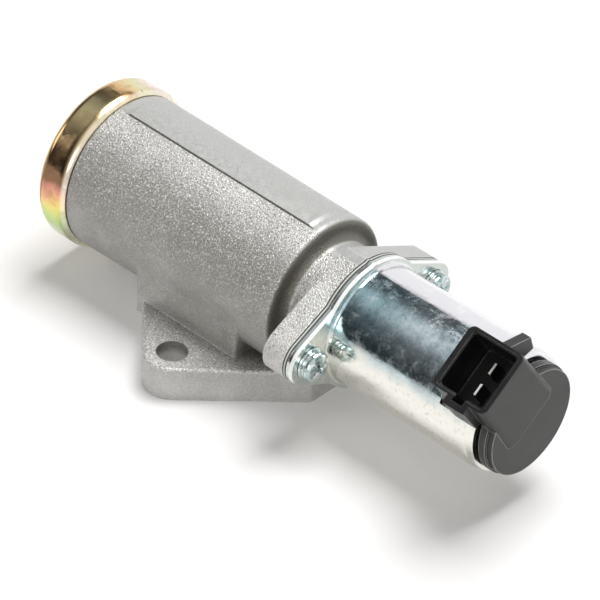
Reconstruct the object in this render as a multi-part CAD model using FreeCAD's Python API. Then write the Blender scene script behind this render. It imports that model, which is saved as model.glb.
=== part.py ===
import FreeCAD, Part

import math
import os

# Idle air control valve with a cast body, a pressed end cap and a solenoid.
# Frame: origin midway between the two mounting holes, on the mounting face.
# +Z points from the mounting face to the barrel, +X along the barrel towards the connector.
# All lengths are millimetres.

V = FreeCAD.Vector

# Clearances
RUNNING = 0.05
SLIP = 0.10
SEAL_SQUEEZE = 0.02
SLOT_PLAY = 0.15
SEAT_GAP = 0.05

# Mounting flange
FLANGE_T = 7.7
FLANGE_HALF_L = 24.0
FLANGE_CORNER_R = 2.0
FLANGE_EDGE_R = 0.7
BOLT_PITCH = 47.0
BOLT_HOLE_D = 6.5
LUG_WALL = 2.75

# Barrel of the casting
AXIS_Z = 20.3
BARREL_R = 17.2
BARREL_DRAFT = 0.65
BARREL_LEFT = 37.6
BARREL_RIGHT = 18.8
BARREL_EDGE_R = 1.3
TOP_PAD_RISE = 0.25
TOP_PAD_FROM = 58.0
TOP_PAD_TO = 98.0
TOP_PAD_INSET = 1.9
TOP_PAD_RUN = 1.5

# Air passages
CHAMBER_R = 12.5
OUTLET_BORE_R = 10.0
PORT_R = 5.0
INLET_X = -11.0
PARTITION_T = 3.0
PORT_OFFSET = 1.0
PEDESTAL_END_WALL = 2.0
PEDESTAL_INSET = 1.1
PEDESTAL_CORNER_R = 0.8

# Neck and solenoid pad of the casting
NECK_L = 4.9
NECK_R = 12.2
NECK_COVE = 2.0
PAD_T = 5.2
PAD_APEX_STEP = 0.35
EAR_PITCH = 35.6
EAR_R = 5.0
PAD_RECESS = 2.0

# End cap and its seal
SPIGOT_STEP = 0.35
SPIGOT_L = 6.1
SPIGOT_REVEAL = 0.35
CAP_WALL = 1.5
CAP_EDGE_R = 1.9
CAP_SHOULDER_L = 2.0
CAP_MOUTH_T = 0.5
SEAL_D = 1.5
SEAL_GROOVE_PLAY = 0.5

# Valve seat, poppet and stem
SEAT_R = 7.0
SEAT_WALL = 2.0
SEAT_PROUD = 0.8
SEAT_LEDGE = 1.0
POPPET_R = 8.6
POPPET_RIM_T = 2.2
POPPET_NOSE_L = 1.4
POPPET_NOSE_PLAY = 0.3
POPPET_NOSE_TAPER = 1.2
POPPET_HUB_R = 4.0
POPPET_HUB_L = 2.4
STEM_R = 2.0
STEM_SPIGOT_R = 1.5
STEM_NOSE = 1.6
CLIP_R = 3.0
CLIP_T = 0.6
CLIP_GROOVE_R = 1.1
CLIP_MOUTH = 1.9
TRAVEL = 3.0

# Return spring round the stem
RETURN_WIRE_D = 1.2
RETURN_COIL_R = 5.4
RETURN_TURNS = 7.0

# Can with its two-ear flange, and the gasket under it
GASKET_T = 1.0
SHEET_T = 1.6
CAN_R = 13.0
COLLAR_STEP = 1.3
CAN_WALL = 1.1
CAN_LENGTH = 39.1
CAN_ROOT_R = 0.9
CAN_SWAGE = 0.4
CAN_SWAGE_L = 1.6

# Flange screws
SCREW_R = 2.0
SCREW_HEAD_R = 3.5
SCREW_HEAD_H = 3.0
SCREW_HEAD_EDGE = 0.8
SCREW_TIP = 0.4
RECESS_W = 1.0
RECESS_L = 3.6
RECESS_DEPTH = 1.1

# Magnetic circuit
POLE_PLATE_T = 4.0
POLE_HUB_L = 7.4
POLE_PILOT_L = 1.6
POLE_PILOT_PLAY = 0.5
BUSH_WALL = 1.5
BUSH_INSET = 1.0
BOBBIN_BORE_R = 6.0
BOBBIN_WALL = 1.2
BOBBIN_FLANGE_T = 1.4
BOBBIN_REAR_T = 2.8
WINDING_ROOM = 1.3
SLEEVE_WALL = 0.45
ARMATURE_GAP = 2.0
ARMATURE_POCKET_R = 2.6
ARMATURE_POCKET_L = 3.0
STEM_GRIP_WEB = 1.0
RESIDUAL_GAP = 0.6
WASHER_T = 2.4
CORE_L = 6.4
CORE_HEAD_R = 6.7
CORE_HEAD_T = 1.4
CORE_BORE_WALL = 3.3
SCREW_SET_BACK = 1.4
ADJUSTER_L = 5.0
ADJUSTER_SLOT_W = 0.8
ADJUSTER_SLOT_DEPTH = 1.0
BALANCE_WIRE_D = 0.5
BALANCE_COIL_R = 1.9
BALANCE_TURNS = 6.0

# Plastic end with its connector
CONNECTOR_TILT = 36.5
PLUG_L = 5.4
PLUG_END_PLAY = 0.6
NECK_PLAY = 0.45
RIM_GAP = 0.8
END_COLLAR_L = 1.6
END_DISC_L = 1.5
END_DISC_STEP = 0.45
BLOCK_PROUD = 0.6
BLOCK_LENGTH = 13.4
BLOCK_HEIGHT = 18.4
BLOCK_V_LOW = -7.3
BLOCK_V_HIGH = 7.6
SHROUD_V_LOW = -6.1
BLOCK_CORNER_R = 2.2
SHROUD_CORNER_R = 1.4
SHROUD_WALL_X = 1.4
SHROUD_WALL_V = 1.0
SOCKET_CORNER_R = 0.8
SOCKET_LEAD_IN = 0.45
KEY_W = 2.6
KEY_DEPTH = 1.6
KEY_WALL = 1.3
KEY_SHIFT = 0.3
LATCH_W = 2.1
LATCH_REACH = 4.3
LATCH_DROP = 4.3
LATCH_BACK = 3.3
LATCH_SHIFT = 1.6
BLADE_W = 2.8
BLADE_T = 0.8
BLADE_PITCH = 4.85
BLADE_SHIFT_V = 0.2
BLADE_RECESS = 4.4
BLADE_ROOT = 1.6
LEG_CLEARANCE = 0.4
BLADE_TIP = 0.25

# Sections worked out from the driving dimensions
LUG_R = BOLT_HOLE_D / 2 + LUG_WALL
BOLT_Y = BOLT_PITCH / 2
EAR_Y = EAR_PITCH / 2
SPIGOT_R = BARREL_R - SPIGOT_STEP
CAN_BORE_R = CAN_R - CAN_WALL
COLLAR_R = CAN_R + COLLAR_STEP
PAD_APEX = COLLAR_R + PAD_APEX_STEP
WINDING_R = CAN_BORE_R - WINDING_ROOM
PARTITION_X0 = INLET_X + PORT_R
PARTITION_X1 = PARTITION_X0 + PARTITION_T
OUTLET_X = PARTITION_X1 + PORT_OFFSET + PORT_R
PEDESTAL_X0 = INLET_X - PORT_R - PEDESTAL_END_WALL
PEDESTAL_X1 = OUTLET_X + PORT_R + PEDESTAL_END_WALL
PEDESTAL_Y = BARREL_R - PEDESTAL_INSET

# Stations along the barrel axis
SEAM_X = -BARREL_LEFT
SPIGOT_X0 = SEAM_X - SPIGOT_L
PAD_X0 = BARREL_RIGHT + NECK_L
PAD_X1 = PAD_X0 + PAD_T
SHEET_X0 = PAD_X1 + GASKET_T
SHEET_X1 = SHEET_X0 + SHEET_T
RIM_X = SHEET_X0 + CAN_LENGTH
SEAT_FACE_X = PARTITION_X1 + SEAT_PROUD
POPPET_X0 = SEAT_FACE_X + SEAT_GAP
POPPET_X1 = POPPET_X0 + POPPET_RIM_T
POLE_X0 = PAD_X1 - PAD_RECESS
POLE_X1 = POLE_X0 + POLE_PLATE_T
PLUG_X1 = RIM_X - CAN_SWAGE_L - CAN_SWAGE - PLUG_END_PLAY
WASHER_X1 = PLUG_X1 - PLUG_L
BOBBIN_X1 = WASHER_X1 - WASHER_T
SLEEVE_X0 = POLE_X1 + POLE_HUB_L
CORE_X0 = WASHER_X1 - CORE_L
CORE_X1 = WASHER_X1 + CORE_HEAD_T
ARMATURE_X0 = SLEEVE_X0 + ARMATURE_GAP
ARMATURE_X1 = CORE_X0 - RESIDUAL_GAP - TRAVEL
POCKET_X = ARMATURE_X1 - ARMATURE_POCKET_L
ADJUSTER_X0 = CORE_X0 + SCREW_SET_BACK
COLLAR_X0 = RIM_X + RIM_GAP
COLLAR_X1 = COLLAR_X0 + END_COLLAR_L
DISC_X1 = COLLAR_X1 + END_DISC_L
BLOCK_X1 = DISC_X1 + BLOCK_PROUD
BLOCK_X0 = BLOCK_X1 - BLOCK_LENGTH

# Radii that follow their neighbours
SLEEVE_R = BOBBIN_BORE_R - RUNNING
ARMATURE_R = SLEEVE_R - SLEEVE_WALL - SLIP
BUSH_R = STEM_R + BUSH_WALL
CORE_BORE_R = SLEEVE_R - CORE_BORE_WALL
PLUG_R = CAN_BORE_R - RUNNING
NECK_BORE_R = CAN_BORE_R - CAN_SWAGE
END_NECK_R = NECK_BORE_R - NECK_PLAY
END_DISC_R = PLUG_R - END_DISC_STEP

# Socket and blades, in the tilted frame of the connector
SOCKET_X0 = BLOCK_X0 + SHROUD_WALL_X
SOCKET_X1 = BLOCK_X1 - SHROUD_WALL_X
SOCKET_V0 = SHROUD_V_LOW + SHROUD_WALL_V
SOCKET_V1 = BLOCK_V_HIGH - SHROUD_WALL_V
LEG_FOOT = CORE_HEAD_R + LEG_CLEARANCE
LEG_TOP = LEG_FOOT + BLADE_T
SOCKET_FLOOR = LEG_TOP + BLADE_ROOT
BLADE_X = (SOCKET_X0 + SOCKET_X1) / 2
BLADE_V = (SOCKET_V0 + SOCKET_V1) / 2 - BLADE_SHIFT_V
LEG_X0 = BOBBIN_X1 - BOBBIN_REAR_T / 2

NODES = {}


def cylinder(radius, x0, x1, y=0.0, z=AXIS_Z):
    """Solid cylinder along X from x0 to x1."""
    return Part.makeCylinder(radius, x1 - x0, V(x0, y, z), V(1, 0, 0))


def ring(outer, inner, x0, x1):
    """Tube round the barrel axis."""
    return cylinder(outer, x0, x1).cut(cylinder(inner, x0, x1))


def cone(radius0, radius1, x0, x1, y=0.0, z=AXIS_Z):
    """Solid cone frustum along X."""
    return Part.makeCone(radius0, radius1, x1 - x0, V(x0, y, z), V(1, 0, 0))


def torus(major, minor, x):
    """Ring of round section about the barrel axis."""
    return Part.makeTorus(major, minor, V(x, 0, AXIS_Z), V(1, 0, 0))


def box(x0, x1, y0, y1, z0, z1):
    """Box between two corners."""
    return Part.makeBox(x1 - x0, y1 - y0, z1 - z0, V(x0, y0, z0))


def prism_x(outline, x0, x1):
    """Closed outline of (y, z) points, extruded along X."""
    points = [V(x0, y, z) for y, z in outline]
    face = Part.Face(Part.makePolygon(points + points[:1]))
    return face.extrude(V(x1 - x0, 0, 0))


def round_edges(shape, radius, wanted):
    """Fillet the straight or round edges that the test picks by their middle point."""
    edges = []
    for edge in shape.Edges:
        middle = edge.valueAt((edge.FirstParameter + edge.LastParameter) / 2)
        if wanted(middle, edge):
            edges.append(edge)
    return shape.makeFillet(radius, edges)


def near(value, target):
    """True where two coordinates are the same place."""
    return abs(value - target) < 1e-4


def tilt(shape):
    """Turn a piece drawn upright into the connector's tilted frame."""
    turned = shape.copy()
    turned.rotate(V(0, 0, 0), V(1, 0, 0), CONNECTOR_TILT)
    turned.translate(V(0, 0, AXIS_Z))
    return turned


def coil(wire_d, radius, turns, x0, x1):
    """Compression spring along the barrel axis, its wire between x0 and x1."""
    length = x1 - x0 - wire_d
    path = Part.Wire(Part.makeHelix(length / turns, length, radius).Edges)
    section = Part.Wire(Part.makeCircle(wire_d / 2, V(radius, 0, 0), V(0, 1, 0)))
    spring = path.makePipeShell([section], True, True)
    spring.rotate(V(0, 0, 0), V(0, 1, 0), 90)
    spring.translate(V(x0 + wire_d / 2, 0, AXIS_Z))
    return spring


def flange_outline():
    """Face of the mounting flange: a square set on its corner, with round lugs and cut ends."""
    reach = BOLT_Y + LUG_R * math.sqrt(2)
    side = reach - FLANGE_HALF_L
    tangent = LUG_R / math.sqrt(2)
    edges = []
    for sign in (1, -1):
        start = V(sign * FLANGE_HALF_L, sign * side, 0)
        lug_in = V(sign * tangent, sign * (BOLT_Y + tangent), 0)
        lug_top = V(0, sign * (BOLT_Y + LUG_R), 0)
        lug_out = V(-sign * tangent, sign * (BOLT_Y + tangent), 0)
        corner = V(-sign * FLANGE_HALF_L, sign * side, 0)
        edges.append(Part.LineSegment(start, lug_in).toShape())
        edges.append(Part.Arc(lug_in, lug_top, lug_out).toShape())
        edges.append(Part.LineSegment(lug_out, corner).toShape())
        edges.append(Part.LineSegment(corner, V(-sign * FLANGE_HALF_L, -sign * side, 0)).toShape())
    return Part.Face(Part.Wire(edges))


def mounting_flange():
    """Mounting flange with rounded ends and top edge."""
    plate = flange_outline().extrude(V(0, 0, FLANGE_T))
    plate = round_edges(
        plate,
        FLANGE_CORNER_R,
        lambda p, e: near(abs(p.x), FLANGE_HALF_L) and near(p.z, FLANGE_T / 2),
    )
    return round_edges(plate, FLANGE_EDGE_R, lambda p, e: near(p.z, FLANGE_T))


def diamond(x0, x1):
    """Two-ear pad outline: round ears joined to an apex above and below the axis."""
    reach = math.hypot(EAR_Y, PAD_APEX)
    lean = math.pi - math.atan2(PAD_APEX, EAR_Y) - math.acos(EAR_R / reach)
    tangent_y = EAR_Y + EAR_R * math.cos(lean)
    tangent_z = EAR_R * math.sin(lean)
    edges = []
    for sign in (1, -1):
        top = V(x0, 0, AXIS_Z + sign * PAD_APEX)
        right = V(x0, sign * tangent_y, AXIS_Z + sign * tangent_z)
        tip = V(x0, sign * (EAR_Y + EAR_R), AXIS_Z)
        under = V(x0, sign * tangent_y, AXIS_Z - sign * tangent_z)
        edges.append(Part.LineSegment(top, right).toShape())
        edges.append(Part.Arc(right, tip, under).toShape())
        edges.append(Part.LineSegment(under, V(x0, 0, AXIS_Z - sign * PAD_APEX)).toShape())
    return Part.Face(Part.Wire(edges)).extrude(V(x1 - x0, 0, 0))


def barrel_radius(x):
    """Radius of the drafted barrel at a station."""
    return BARREL_R - BARREL_DRAFT * (x - SEAM_X) / (BARREL_RIGHT - SEAM_X)


def top_pad():
    """Shallow raised pad along the top of the barrel, sharp on its -Y side and run out at its ends."""
    x0 = SEAM_X + TOP_PAD_INSET
    x1 = BARREL_RIGHT - TOP_PAD_INSET
    sunk = -TOP_PAD_RISE / 2
    stations = [(x0, sunk), (x0 + TOP_PAD_RUN, TOP_PAD_RISE), (x1 - TOP_PAD_RUN, TOP_PAD_RISE), (x1, sunk)]
    stretches = []
    for (start, rise0), (end, rise1) in zip(stations, stations[1:]):
        radius0 = barrel_radius(start) + rise0
        radius1 = barrel_radius(end) + rise1
        span = TOP_PAD_TO - TOP_PAD_FROM
        stretch = Part.makeCone(radius0, radius1, end - start, V(0, 0, 0), V(0, 0, 1), span)
        stretch.rotate(V(0, 0, 0), V(0, 1, 0), 90)
        stretch.rotate(V(0, 0, 0), V(1, 0, 0), TOP_PAD_FROM + 90)
        stretch.translate(V(start, 0, AXIS_Z))
        stretches.append(stretch)
    return stretches[0].fuse(stretches[1:])


def outer_casting():
    """Outside of the valve body before it is hollowed out."""
    barrel_x0 = SEAM_X + SPIGOT_REVEAL
    barrel = cone(barrel_radius(barrel_x0), barrel_radius(BARREL_RIGHT), barrel_x0, BARREL_RIGHT)
    barrel = round_edges(barrel, BARREL_EDGE_R, lambda p, e: near(p.x, BARREL_RIGHT))
    spigot = cylinder(SPIGOT_R, SPIGOT_X0, SEAM_X + SPIGOT_REVEAL)
    pedestal = box(PEDESTAL_X0, PEDESTAL_X1, -PEDESTAL_Y, PEDESTAL_Y, FLANGE_T / 2, AXIS_Z)
    pedestal = round_edges(
        pedestal,
        PEDESTAL_CORNER_R,
        lambda p, e: near(abs(p.y), PEDESTAL_Y) and (near(p.x, PEDESTAL_X0) or near(p.x, PEDESTAL_X1)),
    )
    neck = cylinder(NECK_R, BARREL_RIGHT - BARREL_EDGE_R, PAD_X0)
    cove = cylinder(NECK_R + NECK_COVE, BARREL_RIGHT, BARREL_RIGHT + NECK_COVE)
    cove = cove.cut(torus(NECK_R + NECK_COVE, NECK_COVE, BARREL_RIGHT + NECK_COVE))
    pad = diamond(PAD_X0, PAD_X1)
    below = box(SPIGOT_X0, PAD_X1, -BARREL_R, BARREL_R, -BARREL_R, 0)
    body = mounting_flange().fuse([pedestal, barrel, spigot, top_pad(), neck, cove, pad])
    return body.cut(below)


def valve_body():
    """Cast body: two chambers, the wall with the seat pocket, two ports and the screw holes."""
    inlet = cylinder(CHAMBER_R, SPIGOT_X0, PARTITION_X0)
    outlet = cylinder(OUTLET_BORE_R, PARTITION_X1, PAD_X1)
    pocket = cylinder(SEAT_R + SEAT_WALL, PARTITION_X0 + SEAT_LEDGE, PARTITION_X1)
    passage = cylinder(SEAT_R, PARTITION_X0, PARTITION_X1)
    recess = cylinder(CAN_BORE_R - SLIP, POLE_X0, PAD_X1)
    groove_w = SEAL_D + SEAL_GROOVE_PLAY
    groove_x = (SPIGOT_X0 + SEAM_X) / 2 - groove_w / 2
    groove = ring(SPIGOT_R, SPIGOT_R - SEAL_D, groove_x, groove_x + groove_w)
    tools = [inlet, outlet, pocket, passage, recess, groove]
    for port_x in (INLET_X, OUTLET_X):
        tools.append(Part.makeCylinder(PORT_R, AXIS_Z - PORT_R, V(port_x, 0, 0)))
    for sign in (1, -1):
        tools.append(Part.makeCylinder(BOLT_HOLE_D / 2, FLANGE_T, V(0, sign * BOLT_Y, 0)))
        tools.append(cylinder(SCREW_R + RUNNING, PAD_X0, PAD_X1, sign * EAR_Y))
    return outer_casting().cut(tools).removeSplitter()


def end_cap():
    """Drawn cup pressed over the spigot, its mouth rounded down towards the barrel."""
    outer_r = SPIGOT_R + CAP_WALL
    floor_x = SPIGOT_X0 - CAP_WALL
    shoulder_x = SEAM_X - CAP_SHOULDER_L
    drop = CAP_WALL - CAP_MOUTH_T
    bend_r = (CAP_SHOULDER_L**2 + drop**2) / (2 * drop)
    cup = cylinder(outer_r, floor_x, shoulder_x)
    cup = round_edges(cup, CAP_EDGE_R, lambda p, e: near(p.x, floor_x))
    mouth = torus(outer_r - bend_r, bend_r, shoulder_x).common(ring(outer_r, SPIGOT_R, shoulder_x, SEAM_X))
    return cup.cut(cylinder(SPIGOT_R, SPIGOT_X0, shoulder_x)).fuse(mouth).removeSplitter()


def cap_seal():
    """Rubber ring between the spigot groove and the cap."""
    return torus(SPIGOT_R - SEAL_D / 2, SEAL_D / 2 - SEAL_SQUEEZE, (SPIGOT_X0 + SEAM_X) / 2)


def valve_seat():
    """Turned ring pressed into the wall, with a narrow raised sealing face."""
    seat = ring(SEAT_R + SEAT_WALL, SEAT_R, PARTITION_X0 + SEAT_LEDGE, PARTITION_X1)
    return seat.fuse(ring(SEAT_R + SEAT_WALL / 2, SEAT_R, PARTITION_X1, SEAT_FACE_X)).removeSplitter()


def valve_poppet():
    """Valve disc with a tapered nose in the seat and a hub that centres the return spring."""
    nose_r = SEAT_R - POPPET_NOSE_PLAY
    disc = cylinder(POPPET_R, POPPET_X0, POPPET_X1)
    nose = cone(nose_r - POPPET_NOSE_TAPER, nose_r, POPPET_X0 - POPPET_NOSE_L, POPPET_X0)
    hub = cylinder(POPPET_HUB_R, POPPET_X1, POPPET_X1 + POPPET_HUB_L)
    bore = cylinder(STEM_SPIGOT_R, POPPET_X0 - POPPET_NOSE_L, POPPET_X1 + POPPET_HUB_L)
    return disc.fuse([nose, hub]).cut(bore).removeSplitter()


def valve_stem():
    """Stem from the clip groove in front of the poppet to its grip in the armature."""
    shoulder = POPPET_X1 + POPPET_HUB_L
    clip_x1 = POPPET_X0 - POPPET_NOSE_L
    clip_x0 = clip_x1 - CLIP_T
    tip_x = clip_x0 - STEM_NOSE
    rod = cylinder(STEM_R, shoulder, POCKET_X - STEM_GRIP_WEB)
    spigot = cylinder(STEM_SPIGOT_R, tip_x, shoulder)
    groove = ring(STEM_SPIGOT_R, CLIP_GROOVE_R, clip_x0, clip_x1)
    return rod.fuse(spigot).cut(groove).removeSplitter()


def poppet_clip():
    """Open snap ring in the stem groove that holds the poppet against its shoulder."""
    clip_x1 = POPPET_X0 - POPPET_NOSE_L
    clip_x0 = clip_x1 - CLIP_T
    plate = ring(CLIP_R, CLIP_GROOVE_R, clip_x0, clip_x1)
    mouth = box(clip_x0, clip_x1, -CLIP_MOUTH / 2, CLIP_MOUTH / 2, AXIS_Z, AXIS_Z + CLIP_R)
    return plate.cut(mouth)


def return_spring():
    """Spring that closes the poppet, between its rim and the front pole."""
    return coil(RETURN_WIRE_D, RETURN_COIL_R, RETURN_TURNS, POPPET_X1, POLE_X0)


def front_pole():
    """Pole plate with the hub that guides the flux and carries the stem bush."""
    pilot_r = RETURN_COIL_R - RETURN_WIRE_D / 2 - POLE_PILOT_PLAY
    plate = cylinder(CAN_BORE_R - 2 * SLIP, POLE_X0, POLE_X1)
    pilot = cylinder(pilot_r, POLE_X0 - POLE_PILOT_L, POLE_X0)
    hub = cylinder(SLEEVE_R, POLE_X1, POLE_X1 + POLE_HUB_L)
    bore = cylinder(BUSH_R, POLE_X0 - POLE_PILOT_L, POLE_X1 + POLE_HUB_L)
    return plate.fuse([pilot, hub]).cut(bore).removeSplitter()


def stem_bush():
    """Plain bush in the front pole; the stem runs in it."""
    x0 = POLE_X0 - POLE_PILOT_L + BUSH_INSET
    x1 = POLE_X1 + POLE_HUB_L - BUSH_INSET
    return ring(BUSH_R, STEM_R + RUNNING, x0, x1)


def flange_plan(x0, x1):
    """Two-ear outline of the sheet flange and its gasket, round in the middle."""
    return diamond(x0, x1).fuse(cylinder(COLLAR_R, x0, x1)).removeSplitter()


def ear_holes(radius, x0, x1):
    """Two cylinders where the flange screws pass."""
    return [cylinder(radius, x0, x1, sign * EAR_Y) for sign in (1, -1)]


def flange_gasket():
    """Flat gasket between the casting and the sheet flange."""
    holes = ear_holes(SCREW_R + SLOT_PLAY, PAD_X1, SHEET_X0)
    return flange_plan(PAD_X1, SHEET_X0).cut([cylinder(CAN_BORE_R, PAD_X1, SHEET_X0)] + holes)


def connector_slot():
    """Space that the connector block takes out of the can wall."""
    return tilt(
        box(
            BLOCK_X0 - SLOT_PLAY,
            RIM_X,
            BLOCK_V_LOW - SLOT_PLAY,
            BLOCK_V_HIGH + SLOT_PLAY,
            0,
            CAN_R,
        )
    )


def solenoid_can():
    """Drawn can: two-ear flange, root radius, straight wall, swaged rim and connector slot."""
    swage_x = RIM_X - CAN_SWAGE_L
    wall = cylinder(CAN_R, SHEET_X0, swage_x - CAN_SWAGE)
    swage = cone(CAN_R, CAN_R - CAN_SWAGE, swage_x - CAN_SWAGE, swage_x)
    rim = cylinder(CAN_R - CAN_SWAGE, swage_x, RIM_X)
    root = cylinder(CAN_R + CAN_ROOT_R, SHEET_X1, SHEET_X1 + CAN_ROOT_R)
    fillet = torus(CAN_R + CAN_ROOT_R, CAN_ROOT_R, SHEET_X1 + CAN_ROOT_R)
    outside = flange_plan(SHEET_X0, SHEET_X1).fuse([wall, swage, rim, root.cut(fillet)])
    bore = cylinder(CAN_BORE_R, SHEET_X0, swage_x - CAN_SWAGE)
    bore_swage = cone(CAN_BORE_R, NECK_BORE_R, swage_x - CAN_SWAGE, swage_x)
    bore_rim = cylinder(NECK_BORE_R, swage_x, RIM_X)
    tools = [bore, bore_swage, bore_rim, connector_slot()]
    tools.extend(ear_holes(SCREW_R + SLOT_PLAY, SHEET_X0, SHEET_X1))
    return outside.cut(tools).removeSplitter()


def flange_screw(sign):
    """Pan head screw with a cross recess, through the sheet flange into the pad."""
    y = sign * EAR_Y
    head_x1 = SHEET_X1 + SCREW_HEAD_H
    head = cylinder(SCREW_HEAD_R, SHEET_X1, head_x1, y)
    head = round_edges(head, SCREW_HEAD_EDGE, lambda p, e: near(p.x, head_x1))
    shank = cylinder(SCREW_R, PAD_X0 + SCREW_TIP, SHEET_X1, y)
    tip = cone(SCREW_R - SCREW_TIP, SCREW_R, PAD_X0, PAD_X0 + SCREW_TIP, y)
    x0 = head_x1 - RECESS_DEPTH
    long = RECESS_L / 2
    wide = RECESS_W / 2
    flat = box(x0, head_x1, y - long, y + long, AXIS_Z - wide, AXIS_Z + wide)
    upright = box(x0, head_x1, y - wide, y + wide, AXIS_Z - long, AXIS_Z + long)
    return head.fuse([shank, tip]).cut([flat, upright]).removeSplitter()


def coil_bobbin(legs):
    """Moulded spool inside the can, with a sealing groove and the terminal slots at the rear."""
    tube = cylinder(BOBBIN_BORE_R + BOBBIN_WALL, POLE_X1, BOBBIN_X1)
    front = cylinder(PLUG_R - SLIP, POLE_X1, POLE_X1 + BOBBIN_FLANGE_T)
    rear = cylinder(PLUG_R - SLIP, BOBBIN_X1 - BOBBIN_REAR_T, BOBBIN_X1)
    groove_x = BOBBIN_X1 - BOBBIN_REAR_T / 2
    half = (SEAL_D + SEAL_GROOVE_PLAY / 2) / 2
    groove = ring(CAN_R, CAN_BORE_R - SEAL_D, groove_x - half, groove_x + half)
    bore = cylinder(BOBBIN_BORE_R, POLE_X1, BOBBIN_X1)
    return tube.fuse([front, rear]).cut([groove, bore] + legs).removeSplitter()


def bobbin_seal():
    """Rubber ring between the rear end of the bobbin and the can."""
    return torus(CAN_BORE_R - SEAL_D / 2, SEAL_D / 2 - SEAL_SQUEEZE, BOBBIN_X1 - BOBBIN_REAR_T / 2)


def coil_winding():
    """Copper winding as one ring between the bobbin's ends."""
    x1 = BOBBIN_X1 - BOBBIN_REAR_T
    return ring(WINDING_R, BOBBIN_BORE_R + BOBBIN_WALL, POLE_X1 + BOBBIN_FLANGE_T, x1)


def armature_sleeve():
    """Thin brass tube in the bobbin, between the two poles, that the armature slides in."""
    return ring(SLEEVE_R, SLEEVE_R - SLEEVE_WALL, SLEEVE_X0, CORE_X0)


def armature():
    """Iron plunger pressed on the stem, with a rear pocket for the balance spring."""
    block = cylinder(ARMATURE_R, ARMATURE_X0, ARMATURE_X1)
    grip = cylinder(STEM_R, ARMATURE_X0, POCKET_X - STEM_GRIP_WEB)
    pocket = cylinder(ARMATURE_POCKET_R, POCKET_X, ARMATURE_X1)
    return block.cut([grip, pocket])


def back_core():
    """Fixed core behind the armature, with a head behind the flux washer."""
    core = cylinder(SLEEVE_R, CORE_X0, WASHER_X1)
    head = cylinder(CORE_HEAD_R, WASHER_X1, CORE_X1)
    return core.fuse(head).cut(cylinder(CORE_BORE_R, CORE_X0, CORE_X1)).removeSplitter()


def flux_washer(legs):
    """Iron washer that closes the magnetic circuit, notched for the terminal legs."""
    washer = ring(PLUG_R - SLIP, SLEEVE_R + RUNNING, BOBBIN_X1, WASHER_X1)
    return washer.cut(legs)


def balance_spring():
    """Light spring between the armature and the adjusting screw."""
    return coil(BALANCE_WIRE_D, BALANCE_COIL_R, BALANCE_TURNS, POCKET_X, ADJUSTER_X0)


def adjusting_screw():
    """Slotted screw in the back core that sets the balance spring."""
    x1 = ADJUSTER_X0 + ADJUSTER_L
    screw = cylinder(CORE_BORE_R - RUNNING, ADJUSTER_X0, x1)
    half = ADJUSTER_SLOT_W / 2
    slot = box(x1 - ADJUSTER_SLOT_DEPTH, x1, -CORE_BORE_R, CORE_BORE_R, AXIS_Z - half, AXIS_Z + half)
    return screw.cut(slot)


def connector_block():
    """Block and shroud of the connector in the upright frame, before its socket is cut."""
    outline = [
        (BLOCK_V_LOW, 0),
        (BLOCK_V_HIGH, 0),
        (BLOCK_V_HIGH, BLOCK_HEIGHT),
        (SHROUD_V_LOW, BLOCK_HEIGHT),
    ]
    block = prism_x(outline, BLOCK_X0, BLOCK_X1)
    block = round_edges(
        block,
        BLOCK_CORNER_R,
        lambda p, e: near(p.z, 0) and near(p.x, (BLOCK_X0 + BLOCK_X1) / 2),
    )
    return round_edges(
        block,
        SHROUD_CORNER_R,
        lambda p, e: (near(p.x, BLOCK_X0) or near(p.x, BLOCK_X1)) and e.Length > BLOCK_HEIGHT / 2
        and 0.3 * BLOCK_HEIGHT < p.z < 0.7 * BLOCK_HEIGHT,
    )


def key_box(half, reach, foot):
    """Box through the shroud's low wall, centred on the keyway."""
    centre = (SOCKET_X0 + SOCKET_X1) / 2 + KEY_SHIFT
    return box(centre - half, centre + half, reach, SOCKET_V0 + SHROUD_WALL_V / 2, foot, BLOCK_HEIGHT)


def key_boss():
    """Rib outside the low wall that gives the keyway its own wall, clear of the can."""
    reach = SOCKET_V0 - KEY_DEPTH - KEY_WALL
    slot_edge = BLOCK_V_LOW - SLOT_PLAY
    foot = math.sqrt(CAN_R ** 2 - slot_edge ** 2) + SLOT_PLAY
    return key_box(KEY_W / 2 + KEY_WALL, reach, foot)


def keyway():
    """Groove in the low wall of the socket that keys the plug."""
    return key_box(KEY_W / 2, SOCKET_V0 - KEY_DEPTH, SOCKET_FLOOR)


def latch_ramp():
    """Ramp on the shroud's high wall that the plug's latch snaps over."""
    x1 = (SOCKET_X0 + SOCKET_X1) / 2 + LATCH_SHIFT + LATCH_W / 2
    wall_v = BLOCK_V_HIGH - SHROUD_WALL_V / 2
    tip_v = BLOCK_V_HIGH + LATCH_REACH
    top = BLOCK_HEIGHT - SHROUD_WALL_V / 2
    tip_n = top - LATCH_DROP
    foot_n = math.sqrt(CAN_R ** 2 - wall_v ** 2) + SHROUD_WALL_V
    outline = [
        (wall_v, top),
        (BLOCK_V_HIGH, top),
        (tip_v, tip_n),
        (tip_v - SHROUD_WALL_V, tip_n - LATCH_BACK),
        (wall_v, foot_n),
    ]
    return prism_x(outline, x1 - LATCH_W, x1)


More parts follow.
